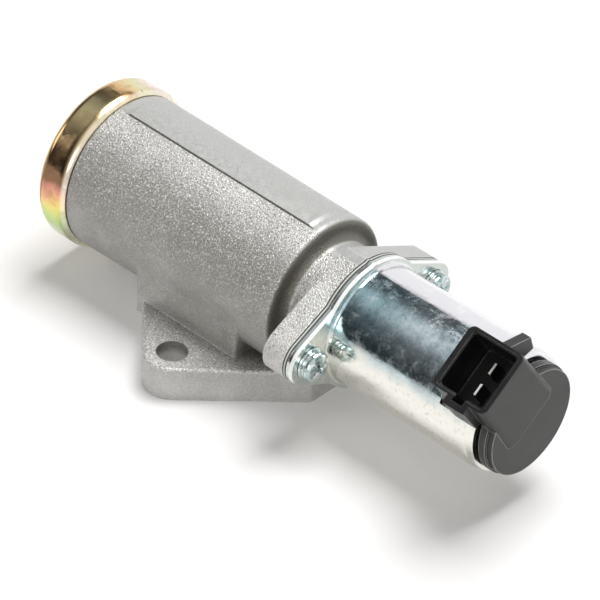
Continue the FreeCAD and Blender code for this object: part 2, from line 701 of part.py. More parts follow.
def socket():
    """Hollow of the shroud with rounded corners and a lead-in at its mouth."""
    hollow = box(SOCKET_X0, SOCKET_X1, SOCKET_V0, SOCKET_V1, SOCKET_FLOOR, BLOCK_HEIGHT)
    hollow = round_edges(
        hollow,
        SOCKET_CORNER_R,
        lambda p, e: near(p.z, (SOCKET_FLOOR + BLOCK_HEIGHT) / 2),
    )
    mouth = box(
        SOCKET_X0 - SOCKET_LEAD_IN,
        SOCKET_X1 + SOCKET_LEAD_IN,
        SOCKET_V0 - SOCKET_LEAD_IN,
        SOCKET_V1 + SOCKET_LEAD_IN,
        BLOCK_HEIGHT - SOCKET_LEAD_IN,
        BLOCK_HEIGHT,
    )
    mouth = round_edges(
        mouth,
        SOCKET_CORNER_R,
        lambda p, e: near(p.z, BLOCK_HEIGHT - SOCKET_LEAD_IN / 2),
    )
    return hollow.fuse([mouth, keyway()])


def terminal(sign):
    """Blade that stands in the socket and turns inward to the bobbin."""
    v = BLADE_V + sign * BLADE_PITCH / 2
    tip = BLOCK_HEIGHT - BLADE_RECESS
    x0 = BLADE_X - BLADE_T / 2
    x1 = BLADE_X + BLADE_T / 2
    blade = box(x0, x1, v - BLADE_W / 2, v + BLADE_W / 2, LEG_FOOT, tip)
    blade = blade.makeChamfer(BLADE_TIP, [e for e in blade.Edges if near(e.CenterOfMass.z, tip)])
    leg = box(LEG_X0, x0, v - BLADE_W / 2, v + BLADE_W / 2, LEG_FOOT, LEG_TOP)
    return tilt(blade.fuse(leg).removeSplitter())


def connector_housing(terminals):
    """Plastic end: plug in the can, neck under the rim, collar, end disc and connector."""
    plug = cylinder(PLUG_R, WASHER_X1, PLUG_X1)
    neck = cylinder(END_NECK_R, PLUG_X1, COLLAR_X0)
    collar = cylinder(PLUG_R, COLLAR_X0, COLLAR_X1)
    disc = cylinder(END_DISC_R, COLLAR_X1, DISC_X1)
    block = tilt(connector_block().fuse([key_boss(), latch_ramp()]))
    inside = cylinder(CAN_BORE_R, BLOCK_X0 - CAN_WALL, WASHER_X1)
    block = block.cut(inside)
    core_room = cylinder(CORE_HEAD_R + SLIP, WASHER_X1, CORE_X1 + SLIP)
    whole = plug.fuse([neck, collar, disc, block])
    return whole.cut([core_room, tilt(socket())] + terminals).removeSplitter()


def leg_slots():
    """Clearance round the terminal legs where they pass the washer and the bobbin."""
    slots = []
    for sign in (1, -1):
        v = BLADE_V + sign * BLADE_PITCH / 2
        half = BLADE_W / 2 + SLIP
        slots.append(
            tilt(box(LEG_X0, WASHER_X1, v - half, v + half, LEG_FOOT - SLIP, LEG_TOP + SLIP))
        )
    return slots


def build():
    """Make every piece once and keep it under its node name."""
    legs = leg_slots()
    terminals = [terminal(1), terminal(-1)]
    NODES["valve_body"] = valve_body()
    NODES["end_cap"] = end_cap()
    NODES["cap_seal"] = cap_seal()
    NODES["valve_seat"] = valve_seat()
    NODES["valve_poppet"] = valve_poppet()
    NODES["poppet_clip"] = poppet_clip()
    NODES["valve_stem"] = valve_stem()
    NODES["return_spring"] = return_spring()
    NODES["front_pole"] = front_pole()
    NODES["stem_bush"] = stem_bush()
    NODES["flange_gasket"] = flange_gasket()
    NODES["solenoid_can"] = solenoid_can()
    NODES["flange_screw_near"] = flange_screw(-1)
    NODES["flange_screw_far"] = flange_screw(1)
    NODES["coil_bobbin"] = coil_bobbin(legs)
    NODES["bobbin_seal"] = bobbin_seal()
    NODES["coil_winding"] = coil_winding()
    NODES["armature_sleeve"] = armature_sleeve()
    NODES["armature"] = armature()
    NODES["back_core"] = back_core()
    NODES["flux_washer"] = flux_washer(legs)
    NODES["balance_spring"] = balance_spring()
    NODES["adjusting_screw"] = adjusting_screw()
    NODES["connector_housing"] = connector_housing(terminals)
    NODES["terminal_blade_1"] = terminals[0]
    NODES["terminal_blade_2"] = terminals[1]


build()
os.makedirs("parts", exist_ok=True)
for node, shape in NODES.items():
    shape.exportStep("parts/" + node + ".step")
    print(node, "valid", shape.isValid(), "solids", len(shape.Solids), "volume", round(shape.Volume, 2))
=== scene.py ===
import logging
import math
from dataclasses import dataclass
from enum import Enum
from typing import ClassVar, Optional, Sequence, Union

import bmesh
import bpy
from mathutils import Matrix, Vector


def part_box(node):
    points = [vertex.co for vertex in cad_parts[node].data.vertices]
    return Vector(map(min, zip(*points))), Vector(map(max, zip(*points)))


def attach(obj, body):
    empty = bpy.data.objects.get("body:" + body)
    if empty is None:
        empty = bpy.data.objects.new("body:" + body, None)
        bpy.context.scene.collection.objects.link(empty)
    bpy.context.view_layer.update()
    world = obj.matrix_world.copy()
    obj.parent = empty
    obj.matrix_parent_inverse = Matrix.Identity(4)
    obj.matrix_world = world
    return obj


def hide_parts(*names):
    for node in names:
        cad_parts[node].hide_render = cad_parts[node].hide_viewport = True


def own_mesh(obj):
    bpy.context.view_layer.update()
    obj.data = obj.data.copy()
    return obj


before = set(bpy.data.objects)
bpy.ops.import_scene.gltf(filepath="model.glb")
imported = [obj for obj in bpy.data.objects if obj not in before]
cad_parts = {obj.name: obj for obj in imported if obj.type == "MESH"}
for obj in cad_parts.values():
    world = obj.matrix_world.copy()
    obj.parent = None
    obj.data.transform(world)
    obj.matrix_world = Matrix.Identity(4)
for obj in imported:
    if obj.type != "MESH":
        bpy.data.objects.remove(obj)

LOG = logging.getLogger("idle_air_valve")
MM = 0.001
BODY = "valve"
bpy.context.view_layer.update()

Pair = tuple[float, float]
Point = tuple[float, float, float]
Colour = tuple[float, float, float]
Socket = bpy.types.NodeSocket
Value = Union[float, Socket]
Tint = Union[Colour, Socket]


class Graph:
    """One procedural material, built node by node in object coordinates."""

    EDGE_COS = (0.985, 0.80)
    CREVICE_SAMPLES = 6

    def __init__(self, name: str) -> None:
        """Start an empty material with a principled shader.

        Args:
            name: Name of the material.
        """
        self.material = bpy.data.materials.new(name)
        self.material.use_nodes = True
        self.nodes = self.material.node_tree.nodes
        self.links = self.material.node_tree.links
        self.nodes.clear()
        self.shader = self.add("BsdfPrincipled", {})
        self.output = self.add("OutputMaterial", {"Surface": self.shader.outputs["BSDF"]})
        self.coords = self.add("TexCoord", {}).outputs["Object"]
        self.x, self.y, self.z = self.add("SeparateXYZ", {"Vector": self.coords}).outputs

    def add(self, kind: str, fills: dict[Union[str, int], object], **settings: object) -> bpy.types.Node:
        """Add one node.

        Args:
            kind: Its type, as written after ShaderNode.
            fills: Value or socket for its inputs, by name or number.
            settings: Its other properties.

        Returns:
            The node.
        """
        node = self.nodes.new("ShaderNode" + kind)
        for name, value in settings.items():
            setattr(node, name, value)
        for key, value in fills.items():
            self.put(node.inputs[key], value)
        return node

    def put(self, socket: Socket, value: object) -> None:
        """Link or set one input.

        Args:
            socket: Input to fill.
            value: An output socket, a number or a colour of three numbers.
        """
        if isinstance(value, Socket):
            self.links.new(value, socket)
        elif isinstance(value, tuple) and len(socket.default_value) == 4:
            socket.default_value = (*value, 1.0)
        else:
            socket.default_value = value

    def set(self, **inputs: object) -> None:
        """Fill inputs of the principled shader, written with underscores for spaces.

        Args:
            inputs: Value or socket for each named input.
        """
        for name, value in inputs.items():
            self.put(self.shader.inputs[name.replace("_", " ")], value)

    def show(self, surface: Socket) -> None:
        """Show another surface in place of the principled one."""
        self.nodes.remove(self.shader)
        self.put(self.output.inputs["Surface"], surface)

    def noise(self, size: float, detail: float = 3.0, stretch: Point = (1, 1, 1), roughness: float = 0.55,
              warp: float = 0.0) -> Socket:
        """Soft random pattern.

        Args:
            size: Size of its largest spots in metres.
            detail: Number of finer layers.
            stretch: Factor on each axis, where a small one draws spots out.
            roughness: Weight of the finer layers.
            warp: Distortion of the pattern.

        Returns:
            Value from 0 to 1.
        """
        place = self.add("Mapping", {"Vector": self.coords, "Scale": stretch}).outputs["Vector"]
        fills = {"Vector": place, "Scale": 1.0 / size, "Detail": detail, "Roughness": roughness}
        return self.add("TexNoise", {**fills, "Distortion": warp}).outputs["Fac"]

    def cells(self, size: float) -> Socket:
        """Distance from the middle of each cell of a pitted pattern with cells of one size."""
        return self.add("TexVoronoi", {"Vector": self.coords, "Scale": 1.0 / size}).outputs["Distance"]

    def facing_up(self) -> Socket:
        """How far the surface faces upwards, from -1 to 1."""
        normal = self.add("NewGeometry", {}).outputs["Normal"]
        return self.add("SeparateXYZ", {"Vector": normal}).outputs["Z"]

    def spot(self, centre: Point, inner: float, outer: float) -> Socket:
        """Mask round one point.

        Args:
            centre: The point.
            inner: Distance up to which the mask is full.
            outer: Distance from which it is zero.

        Returns:
            1 at the point, 0 away from it.
        """
        node = self.add("VectorMath", {0: self.coords, 1: centre}, operation="DISTANCE")
        return self.step(node.outputs["Value"], inner, outer, 1.0, 0.0)

    def climb(self, axis_z: float) -> Socket:
        """Angle about the valve's axis.

        Args:
            axis_z: Height of the axis.

        Returns:
            Degrees above the level on the -Y side: 90 on top, negative below.
        """
        height = self.less(self.z, axis_z)
        return self.sum("DEGREES", self.sum("ARCTAN2", height, self.times(self.y, -1.0)))

    def along(self, direction: Point, origin: Point) -> Socket:
        """Distance along a direction.

        Args:
            direction: Unit vector of the direction.
            origin: Point where it is zero.

        Returns:
            The signed distance in metres.
        """
        node = self.add("VectorMath", {0: self.coords, 1: direction}, operation="DOT_PRODUCT")
        return self.less(node.outputs["Value"], Vector(direction).dot(Vector(origin)))

    def step(self, value: Value, low: float, high: float, start: float = 0.0, end: float = 1.0) -> Socket:
        """Smooth step from one value to another.

        Args:
            value: Input value.
            low: Where the step starts.
            high: Where the step ends.
            start: Result below low.
            end: Result above high.

        Returns:
            The stepped value.
        """
        fills = {"Value": value, "From Min": low, "From Max": high, "To Min": start, "To Max": end}
        return self.add("MapRange", fills, interpolation_type="SMOOTHSTEP").outputs["Result"]

    def within(self, value: Value, centre: float, half: float, soft: float) -> Socket:
        """Mask of the values close to one value.

        Args:
            value: Input value.
            centre: Value in the middle of the mask.
            half: Distance from it that is still full.
            soft: Further distance over which the mask fades.

        Returns:
            1 near the centre, 0 away from it.
        """
        return self.step(self.sum("ABSOLUTE", self.less(value, centre)), half, half + soft, 1.0, 0.0)

    def sum(self, operation: str, first: Value, *others: Value) -> Socket:
        """Join values by one math operation, from the left.

        Args:
            operation: Name of the operation.
            first: First value.
            others: Values that follow, none for an operation on one value.

        Returns:
            The result.
        """
        for other in others or (0.0,):
            first = self.add("Math", {0: first, 1: other}, operation=operation).outputs["Value"]
        return first

    def times(self, *values: Value) -> Socket:
        """Product of the values."""
        return self.sum("MULTIPLY", *values)

    def plus(self, *values: Value) -> Socket:
        """Total of the values."""
        return self.sum("ADD", *values)

    def largest(self, *values: Value) -> Socket:
        """Largest of the values."""
        return self.sum("MAXIMUM", *values)

    def less(self, first: Value, second: Value) -> Socket:
        """First value less the second one."""
        return self.sum("SUBTRACT", first, second)

    def rest(self, share: Value) -> Socket:
        """What is left of 1."""
        return self.less(1.0, share)

    def between(self, share: Value, first: Value, second: Value) -> Socket:
        """First value, led over to the second one by a share."""
        return self.plus(self.times(first, self.rest(share)), self.times(share, second))

    def tint(self, share: Value, first: Tint, second: Tint) -> Socket:
        """First colour, led over to the second one by a share."""
        return self.add("Mix", {0: share, 6: first, 7: second}, data_type="RGBA").outputs[2]

    def ramp(self, value: Value, stops: Sequence[tuple[float, Colour]]) -> Socket:
        """Colour that runs through several stops.

        Args:
            value: Place on the ramp.
            stops: Place and colour of each stop.

        Returns:
            The colour.
        """
        node = self.add("ValToRGB", {"Fac": value})
        while len(node.color_ramp.elements) < len(stops):
            node.color_ramp.elements.new(1.0)
        for element, (place, colour) in zip(node.color_ramp.elements, stops):
            element.position = place
            element.color = (*colour, 1.0)
        return node.outputs["Color"]

    def bump(self, height: Value, depth: float, below: Optional[Socket] = None) -> Socket:
        """Relief on the surface normal.

        Args:
            height: Pattern from 0 to 1.
            depth: Height in metres of a full step.
            below: Normal that it is added to.

        Returns:
            The changed normal.
        """
        normal = {} if below is None else {"Normal": below}
        return self.add("Bump", {"Distance": depth, "Height": height, **normal}).outputs["Normal"]

    def rounding(self, radius: Value) -> Socket:
        """Normal with softened edges."""
        return self.add("Bevel", {"Radius": radius}).outputs["Normal"]

    def edge_wear_and_sheen(self, radius: float) -> Socket:
        """Mask of the edges, where handling wears a finish and where pale edge highlights are painted.

        Args:
            radius: Width of the edge band in metres.

        Returns:
            0 on flat stretches, up to 1 at an edge.
        """
        normal = self.add("NewGeometry", {}).outputs["Normal"]
        node = self.add("VectorMath", {0: self.rounding(radius), 1: normal}, operation="DOT_PRODUCT")
        return self.step(node.outputs["Value"], *self.EDGE_COS)

    def crevices(self, reach: float, own: bool = False) -> Socket:
        """Mask of the open surface, dark in corners and gaps.

        Args:
            reach: How far a neighbour shades the surface, in metres.
            own: Whether only the piece itself counts as a neighbour.

        Returns:
            0 in a crevice, 1 in the open.
        """
        fills = {"Distance": reach}
        return self.add("AmbientOcclusion", fills, samples=self.CREVICE_SAMPLES, only_local=own).outputs["AO"]


@dataclass(frozen=True)
class CastAlloy:
    """Shot-blasted aluminium casting: fine bright grain, smooth far side, painted shade in corners, in the
    bores and on the lower near side, a painted shadow line along the top pad, painted light on the flange,
    and pale edges from wear and painted highlight.
    """

    skin: Colour = (0.425, 0.42, 0.405)
    pale: Colour = (0.525, 0.52, 0.505)
    calm: Colour = (0.43, 0.43, 0.42)
    pit: Colour = (0.17, 0.165, 0.15)
    glint: Colour = (0.88, 0.875, 0.86)
    # Colour of the painted shade and the painted shadow line on the casting.
    painted_shade_tone: Colour = (0.075, 0.07, 0.048)
    grain: float = 0.38 * MM
    grain_depth: float = 0.16 * MM
    axis_z: float = 20.3 * MM
    # Climb angle of the smooth top pad's edge, along which a painted shadow line runs, the line's length
    # along X and its half width.
    pad_edge_climb: float = 82.0
    pad_edge_x: Pair = (-34.0 * MM, 16.2 * MM)
    step_shadow_half: float = 0.42
    end_x: float = 18.8 * MM
    crease: Pair = (14.2 * MM, 15.0 * MM)
    crease_r: float = 3.0 * MM
    edge_r: float = 0.4 * MM
    bolt_y: float = 23.5 * MM
    bolt_r: float = 3.25 * MM
    # Painted light low in the bolt bores and painted shade near their top: heights and shares.
    bore_lit_z: Pair = (4.2 * MM, 6.6 * MM)
    bore_lit: Pair = (0.75, 0.0)
    painted_bore_shade: Pair = (0.05, 0.55)
    # Painted shade on the lower near side of the barrel: climb angles over which it comes in and fades, and
    # its share.
    painted_side_shade: Pair = (68.0, 42.0)
    painted_side_shade_low: Pair = (35.0, -20.0)
    painted_side_shade_share: float = 0.42
    # Painted light on the front beyond the barrel's end and on the foot below the barrel, and where the front
    # begins.
    painted_light_share: float = 0.14
    flange_from_x: float = 20.0 * MM
    barrel_from_z: float = 9.0 * MM

    def blend_radius(self, g: Graph) -> Socket:
        """Radius of the softened edges, large where the barrel flows into its pedestal.

        Args:
            g: Graph that it is added to.

        Returns:
            The radius in metres.
        """
        height, side = self.crease
        level = g.within(g.z, height, 1.5 * MM, 3 * MM)
        out = g.step(g.sum("ABSOLUTE", g.y), side - 2 * MM, side)
        return g.plus(g.times(level, out, self.crease_r - self.edge_r), self.edge_r)

    def bore_walls(self, g: Graph) -> Socket:
        """Mask of the drilled walls of the two bolt holes."""
        off = g.less(g.sum("ABSOLUTE", g.y), self.bolt_y)
        squares = g.plus(g.sum("POWER", off, 2.0), g.sum("POWER", g.x, 2.0))
        return g.step(g.sum("SQRT", squares), self.bolt_r + 0.02 * MM, self.bolt_r + 0.12 * MM, 1.0, 0.0)

    def material(self) -> bpy.types.Material:
        """Build the material.

        Returns:
            The finished material.
        """
        g = Graph("cast_alloy_blasted")
        angle = g.climb(self.axis_z)
        above = g.step(g.z, self.axis_z, self.axis_z + 4 * MM)
        smooth = g.times(g.step(angle, self.pad_edge_climb, self.pad_edge_climb + 1.0), above)
        rough_share = g.step(smooth, 0.0, 1.0, 1.0, 0.20)
        pits = g.step(g.cells(self.grain), 0.10, 0.62)
        fine = g.noise(self.grain, 2.0, roughness=0.75)
        coarse = g.noise(3 * self.grain, 3.0, roughness=0.6)
        clouds = g.noise(8 * MM, 4.0, warp=0.5)
        colour = g.tint(g.step(clouds, 0.3, 0.75), self.skin, self.pale)
        # Painted shade: the barrel's lower near side is darkened towards the shade colour.
        painted_side_shade = g.times(
            g.step(angle, *self.painted_side_shade), g.step(g.z, 0.0, self.barrel_from_z),
            g.step(g.x, self.end_x, self.flange_from_x, 1.0, 0.0),
            g.step(angle, *self.painted_side_shade_low, self.painted_side_shade_share, 0.7 * self.painted_side_shade_share),
        )
        colour = g.tint(painted_side_shade, colour, self.painted_shade_tone)
        # Painted light: the front beyond the barrel's end and the foot below the barrel are lifted towards
        # the glint colour.
        front = g.step(g.x, self.flange_from_x, self.flange_from_x + 1.5 * MM)
        foot = g.step(g.z, self.barrel_from_z, self.barrel_from_z - 1.0 * MM)
        colour = g.tint(g.times(g.largest(front, foot), self.painted_light_share), colour, self.glint)
        colour = g.tint(g.times(smooth, 0.85), colour, self.calm)
        # Grain specks, pale and dark: the grain is the metal's own, its stronger contrast on upward faces is
        # painted light.
        speck_share = g.times(rough_share, g.step(g.facing_up(), -0.1, 0.75, 0.30, 1.0))
        shade = g.times(g.step(fine, 0.28, 0.51, 0.92, 0.0), speck_share)
        colour = g.tint(shade, colour, self.pit)
        bright = g.times(g.step(fine, 0.52, 0.70, 0.0, 0.78), speck_share)
        colour = g.tint(bright, colour, self.glint)
        # Pale edges: wear and a painted edge highlight.
        edges = g.edge_wear_and_sheen(0.45 * MM)
        colour = g.tint(g.times(edges, 0.85), colour, self.glint)
        # Painted shadow: a dark line along the near edge of the top pad, where its small step throws shade.
        painted_step_shadow = g.within(angle, self.pad_edge_climb, self.step_shadow_half, self.step_shadow_half)
        run = g.within(g.x, sum(self.pad_edge_x) / 2, (self.pad_edge_x[1] - self.pad_edge_x[0]) / 2, 1.5 * MM)
        painted_step_shadow = g.times(painted_step_shadow, run, above)
        # Painted shade in crevices, and on the barrel's end face and neck cove behind the flange.
        painted_shade = g.step(g.crevices(6 * MM, own=True), 0.60, 0.15)
        shadowed = g.within(g.x, self.end_x + 0.4 * MM, 0.5 * MM, 0.6 * MM)
        shadowed = g.times(shadowed, g.step(g.z, self.barrel_from_z, self.barrel_from_z + 2 * MM))
        painted_shade = g.largest(g.times(painted_shade, 0.75), g.times(shadowed, 0.80))
        # Bolt bores: painted light on the lower wall, painted shade under the rim.
        drilled = self.bore_walls(g)
        lit = g.times(drilled, g.step(g.z, *self.bore_lit_z, *self.bore_lit))
        colour = g.tint(lit, colour, self.glint)
        painted_bore_shade = g.times(drilled, g.step(g.z, *self.bore_lit_z, *self.painted_bore_shade))
        painted_shade = g.plus(g.times(painted_shade, g.rest(drilled)), painted_bore_shade)
        colour = g.tint(g.largest(painted_shade, g.times(painted_step_shadow, 0.85)), colour, self.painted_shade_tone)
        height = g.plus(g.times(pits, 0.5), g.plus(g.times(fine, 0.6), g.times(coarse, 0.4)))
        softened = g.rounding(self.blend_radius(g))
        relief = g.bump(g.times(height, rough_share), self.grain_depth, softened)
        g.set(Base_Color=colour, Metallic=0.45, Normal=relief, IOR=1.5)
        rough = g.step(coarse, 0.3, 0.7, 0.36, 0.50)
        g.set(Roughness=g.less(rough, g.times(edges, 0.14)))
        return g.material


@dataclass(frozen=True)
class YellowPassivate:
    """Zinc with a yellow chromate film: bright, with drifting gold, pink and green laid by the angle about
    the axis, and a dark brown band that is a painted reflection.
    """

    # Colours by the angle about the axis; the dark brown stops from 15 to 38 degrees paint the reflection of
    # the dim room.
    film: tuple[tuple[float, Colour], ...] = (
        (-60.0, (0.76, 0.72, 0.54)),
        (-34.0, (0.64, 0.72, 0.46)),
        (-17.0, (0.52, 0.70, 0.28)),
        (-6.0, (0.82, 0.72, 0.22)),
        (3.0, (0.86, 0.50, 0.24)),
        (9.0, (0.66, 0.30, 0.22)),
        (15.0, (0.25, 0.14, 0.08)),
        (38.0, (0.33, 0.22, 0.12)),
        (56.0, (0.56, 0.42, 0.22)),
        (80.0, (0.80, 0.66, 0.36)),
        (94.0, (0.92, 0.58, 0.28)),
        (110.0, (0.78, 0.74, 0.44)),
        (124.0, (0.86, 0.72, 0.66)),
        (150.0, (0.78, 0.76, 0.58)),
    )
    cream: Colour = (0.94, 0.90, 0.76)
    brown: Colour = (0.22, 0.13, 0.06)
    axis_z: float = 20.3 * MM
    lip_x: float = -38.7 * MM
    wall_x: Pair = (-44.9 * MM, -43.4 * MM)
    floor_film: Pair = (0.52, 0.84)
    floor_pale: float = 0.10
    corner_x: Pair = (-42.8 * MM, -43.9 * MM)
    drift: float = 26.0
    stake_r: float = 0.75 * MM
    stakes: tuple[Point, ...] = ((-38.6 * MM, 4.6 * MM, 37.5 * MM), (-38.2 * MM, -16.8 * MM, 24.8 * MM))

    def material(self) -> bpy.types.Material:
        """Build the material.

        Returns:
            The finished material.
        """
        g = Graph("yellow_passivate")
        first, last = self.film[0][0], self.film[-1][0]
        wander = g.times(g.less(g.noise(7 * MM, 2.0, warp=0.4), 0.5), self.drift)
        angle = g.plus(g.climb(self.axis_z), wander)
        share = g.times(g.less(angle, first), 1.0 / (last - first))
        on_wall = g.step(g.x, *self.wall_x)
        loose = g.step(g.noise(9 * MM, 3.0, warp=0.8), 0.25, 0.75, *self.floor_film)
        share = g.plus(g.times(share, on_wall), g.times(loose, g.rest(on_wall)))
        colour = g.ramp(share, [((stop - first) / (last - first), tone) for stop, tone in self.film])
        # Pale band along the lip: a painted highlight; the slight pale tint on the floor is the film's own.
        lip = g.step(g.x, self.lip_x, self.lip_x + 0.6 * MM, 0.0, 0.55)
        pale = g.largest(lip, g.step(g.x, *self.wall_x, self.floor_pale, 0.0))
        colour = g.tint(pale, colour, self.cream)
        spots = g.step(g.noise(3 * MM, 4.0), 0.45, 0.75)
        colour = g.tint(g.times(spots, 0.30), colour, self.brown)
        corner = g.step(g.x, *self.corner_x, 0.0, 0.55)
        shaded = g.times(g.within(angle, 58.0, 26.0, 14.0), g.times(corner, on_wall))
        colour = g.tint(shaded, colour, self.brown)
        # Pale edges: wear and a painted edge highlight.
        edges = g.edge_wear_and_sheen(0.35 * MM)
        colour = g.tint(g.times(edges, 0.4), colour, self.cream)
        # Painted shade: crevices darken towards brown.
        painted_shade = g.step(g.crevices(1.2 * MM), 0.55, 0.15)
        colour = g.tint(g.times(painted_shade, 0.9), colour, self.brown)
        scratches = g.noise(0.4 * MM, 2.0, stretch=(0.6, 0.08, 0.08))
        relief = g.bump(scratches, 0.005 * MM, g.rounding(0.25 * MM))
        relief = g.bump(g.noise(3.5 * MM, 2.0), 0.03 * MM, relief)
        for stake in self.stakes:
            mark = g.spot(stake, 0.2 * self.stake_r, self.stake_r)
            relief = g.bump(g.times(mark, -1.0), 0.10 * MM, relief)
            colour = g.tint(g.times(mark, 0.5), colour, self.cream)
        g.set(Base_Color=colour, Metallic=1.0, Normal=relief)
        g.set(Roughness=g.step(g.noise(2.5 * MM, 4.0), 0.3, 0.7, 0.12, 0.25))
        return g.material


@dataclass(frozen=True)
class BrightZinc:
    """Blue-bright zinc plate on steel, with cloudy patches, draw lines and fine scratches."""

    name: str = "bright_zinc"
    steel: Colour = (0.86, 0.88, 0.86)
    film: Colour = (0.50, 0.62, 0.58)
    haze: Colour = (0.94, 0.95, 0.94)
    # Colour of the painted shade in crevices.
    painted_crevice_shade: Colour = (0.04, 0.045, 0.045)
    roughness: Pair = (0.08, 0.26)
    matt_metallic: float = 0.35
    matt_roughness: float = 0.42
    cloud: float = 4.0 * MM

    def hue(self, g: Graph) -> Socket:
        """Colour of the plate before its haze, its edges and the painted shade in its crevices.

        Args:
            g: Graph that it is added to.

        Returns:
            The colour.
        """
        return g.tint(g.step(g.noise(self.cloud, 4.0, warp=0.8), 0.38, 0.66), self.film, self.steel)

    def matt(self, g: Graph) -> Value:
        """Mask of what is left pale and matt."""
        return 0.0

    def material(self) -> bpy.types.Material:
        """Build the material.

        Returns:
            The finished material.
        """
        g = Graph(self.name)
        clouds = g.noise(self.cloud, 5.0, warp=0.7, roughness=0.62)
        fine = g.noise(0.6 * MM, 4.0, roughness=0.65)
        patches = g.plus(g.times(clouds, 0.65), g.times(fine, 0.35))
        colour = g.tint(g.step(patches, 0.50, 0.68, 0.0, 0.5), self.hue(g), self.haze)
        draw_lines = g.noise(0.30 * MM, 2.0, stretch=(0.05, 1, 1))
        relief = g.bump(draw_lines, 0.005 * MM, g.rounding(0.25 * MM))
        relief = g.bump(g.noise(5 * MM, 2.0), 0.035 * MM, relief)
        # Pale edges: wear and a painted edge highlight.
        colour = g.tint(g.times(g.edge_wear_and_sheen(0.35 * MM), 0.8), colour, self.haze)
        # Painted shade: crevices darken.
        painted_crevice_shade = g.step(g.crevices(1.8 * MM), 0.55, 0.12)
        colour = g.tint(g.times(painted_crevice_shade, 0.85), colour, self.painted_crevice_shade)
        matt = self.matt(g)
        colour = g.tint(g.times(matt, 0.9), colour, self.haze)
        rough = g.step(patches, 0.40, 0.62, *self.roughness)
        g.set(Base_Color=colour, Metallic=g.between(matt, 1.0, self.matt_metallic), Normal=relief)
        g.set(Roughness=g.between(matt, rough, self.matt_roughness))
        return g.material


@dataclass(frozen=True)
class CanZinc(BrightZinc):
    """Zinc of the drawn can, with colours painted by the angle about its axis to stand in for reflections:
    cream below, teal at the side, white on the far side.
    """

    # Painted reflection colours of the can: teal at the side, cream below, white above.
    teal: Colour = (0.45, 0.62, 0.67)
    blotch: Colour = (0.22, 0.30, 0.32)
    # Colour, place and reach of a painted glow in the teal band, standing in for a lamp's reflection.
    bloom: Colour = (0.86, 0.93, 0.95)
    painted_glow_place: Point = (51.0 * MM, -6.5 * MM, 31.6 * MM)
    painted_glow_reach: Pair = (1.0 * MM, 14.0 * MM)
    cream: Colour = (0.84, 0.825, 0.765)
    spot_tone: Colour = (0.36, 0.37, 0.35)
    white: Colour = (0.82, 0.81, 0.845)
    sheet: Colour = (0.60, 0.64, 0.61)
    axis_z: float = 20.3 * MM
    sheet_x: float = 31.5 * MM
    teal_from: float = 16.0
    teal_to: float = 92.0
    blur: float = 9.0

    def hue(self, g: Graph) -> Socket:
        """Painted reflection colours by the angle about the can's axis, and its own colour on the sheet."""
        drift = g.times(g.less(g.noise(9 * MM, 2.0), 0.5), 3 * self.blur)
        angle = g.plus(g.climb(self.axis_z), drift)
        # Painted reflections by angle: cream below where the table shows, teal at the side where the dim room
        # shows, white above.
        side = g.step(angle, self.teal_from - self.blur, self.teal_from + self.blur)
        top = g.step(angle, self.teal_to - self.blur / 3, self.teal_to + self.blur / 3)
        blotches = g.step(g.noise(2.2 * MM, 6.0, warp=0.2, roughness=0.72), 0.60, 0.36, 0.0, 0.75)
        clouded = g.tint(blotches, self.teal, self.blotch)
        mottle = g.step(g.noise(1.6 * MM, 5.0, roughness=0.7), 0.36, 0.62, 0.35, 1.0)
        # Painted reflection: a pale mottled glow in the teal band.
        bloom = g.times(g.spot(self.painted_glow_place, *self.painted_glow_reach), mottle)
        clouded = g.tint(bloom, clouded, self.bloom)
        spots = g.step(g.noise(1.1 * MM, 5.0, roughness=0.7), 0.52, 0.70, 0.0, 0.45)
        colour = g.tint(side, g.tint(spots, self.cream, self.spot_tone), clouded)
        colour = g.tint(top, colour, self.white)
        on_sheet = g.step(g.x, self.sheet_x, self.sheet_x + 0.2 * MM, 1.0, 0.0)
        return g.tint(on_sheet, colour, self.sheet)

    def matt(self, g: Graph) -> Socket:
        """Mask of the sheet's cut edge."""
        return g.within(g.x, self.sheet_x - 0.45 * MM, 0.36 * MM, 0.08 * MM)


@dataclass(frozen=True)
class MouldedPlastic:
    """Glass-filled moulding with a fine grain, flow streaks, slightly polished edges with a painted edge
    highlight, and painted shade in corners and gaps.
    """

    name: str
    body: Colour
    streak: Colour
    # Colour of the painted edge highlight.
    edge: Colour
    # Colour of the painted shade in corners and gaps.
    hollow: Colour = (0.003, 0.003, 0.0035)
    roughness: Pair = (0.30, 0.42)
    hollow_share: float = 0.9

    def painted_shade_mask(self, g: Graph) -> Socket:
        """Mask of the painted shade: corners and gaps."""
        return g.step(g.crevices(5 * MM), 0.85, 0.30)

    def material(self) -> bpy.types.Material:
        """Build the material.

        Returns:
            The finished material.
        """
        g = Graph(self.name)
        flow = g.noise(5 * MM, 4.0, stretch=(1, 0.4, 1), warp=0.6)
        speck = g.noise(0.30 * MM, 2.0)
        colour = g.tint(g.step(flow, 0.35, 0.7), self.body, self.streak)
        colour = g.tint(g.step(speck, 0.60, 0.78, 0.0, 0.45), colour, self.streak)
        # Painted edge highlight, on edges that are also polished smoother.
        edges = g.edge_wear_and_sheen(0.40 * MM)
        colour = g.tint(edges, colour, self.edge)
        # Painted shade: corners, gaps and the socket darken towards near black.
        colour = g.tint(g.times(self.painted_shade_mask(g), self.hollow_share), colour, self.hollow)
        relief = g.bump(speck, 0.014 * MM, g.rounding(0.35 * MM))
        relief = g.bump(flow, 0.04 * MM, relief)
        rough = g.step(flow, 0.3, 0.7, *self.roughness)
        g.set(Base_Color=colour, Normal=relief, IOR=1.46)
        g.set(Roughness=g.less(rough, g.times(edges, 0.12)))
        return g.material


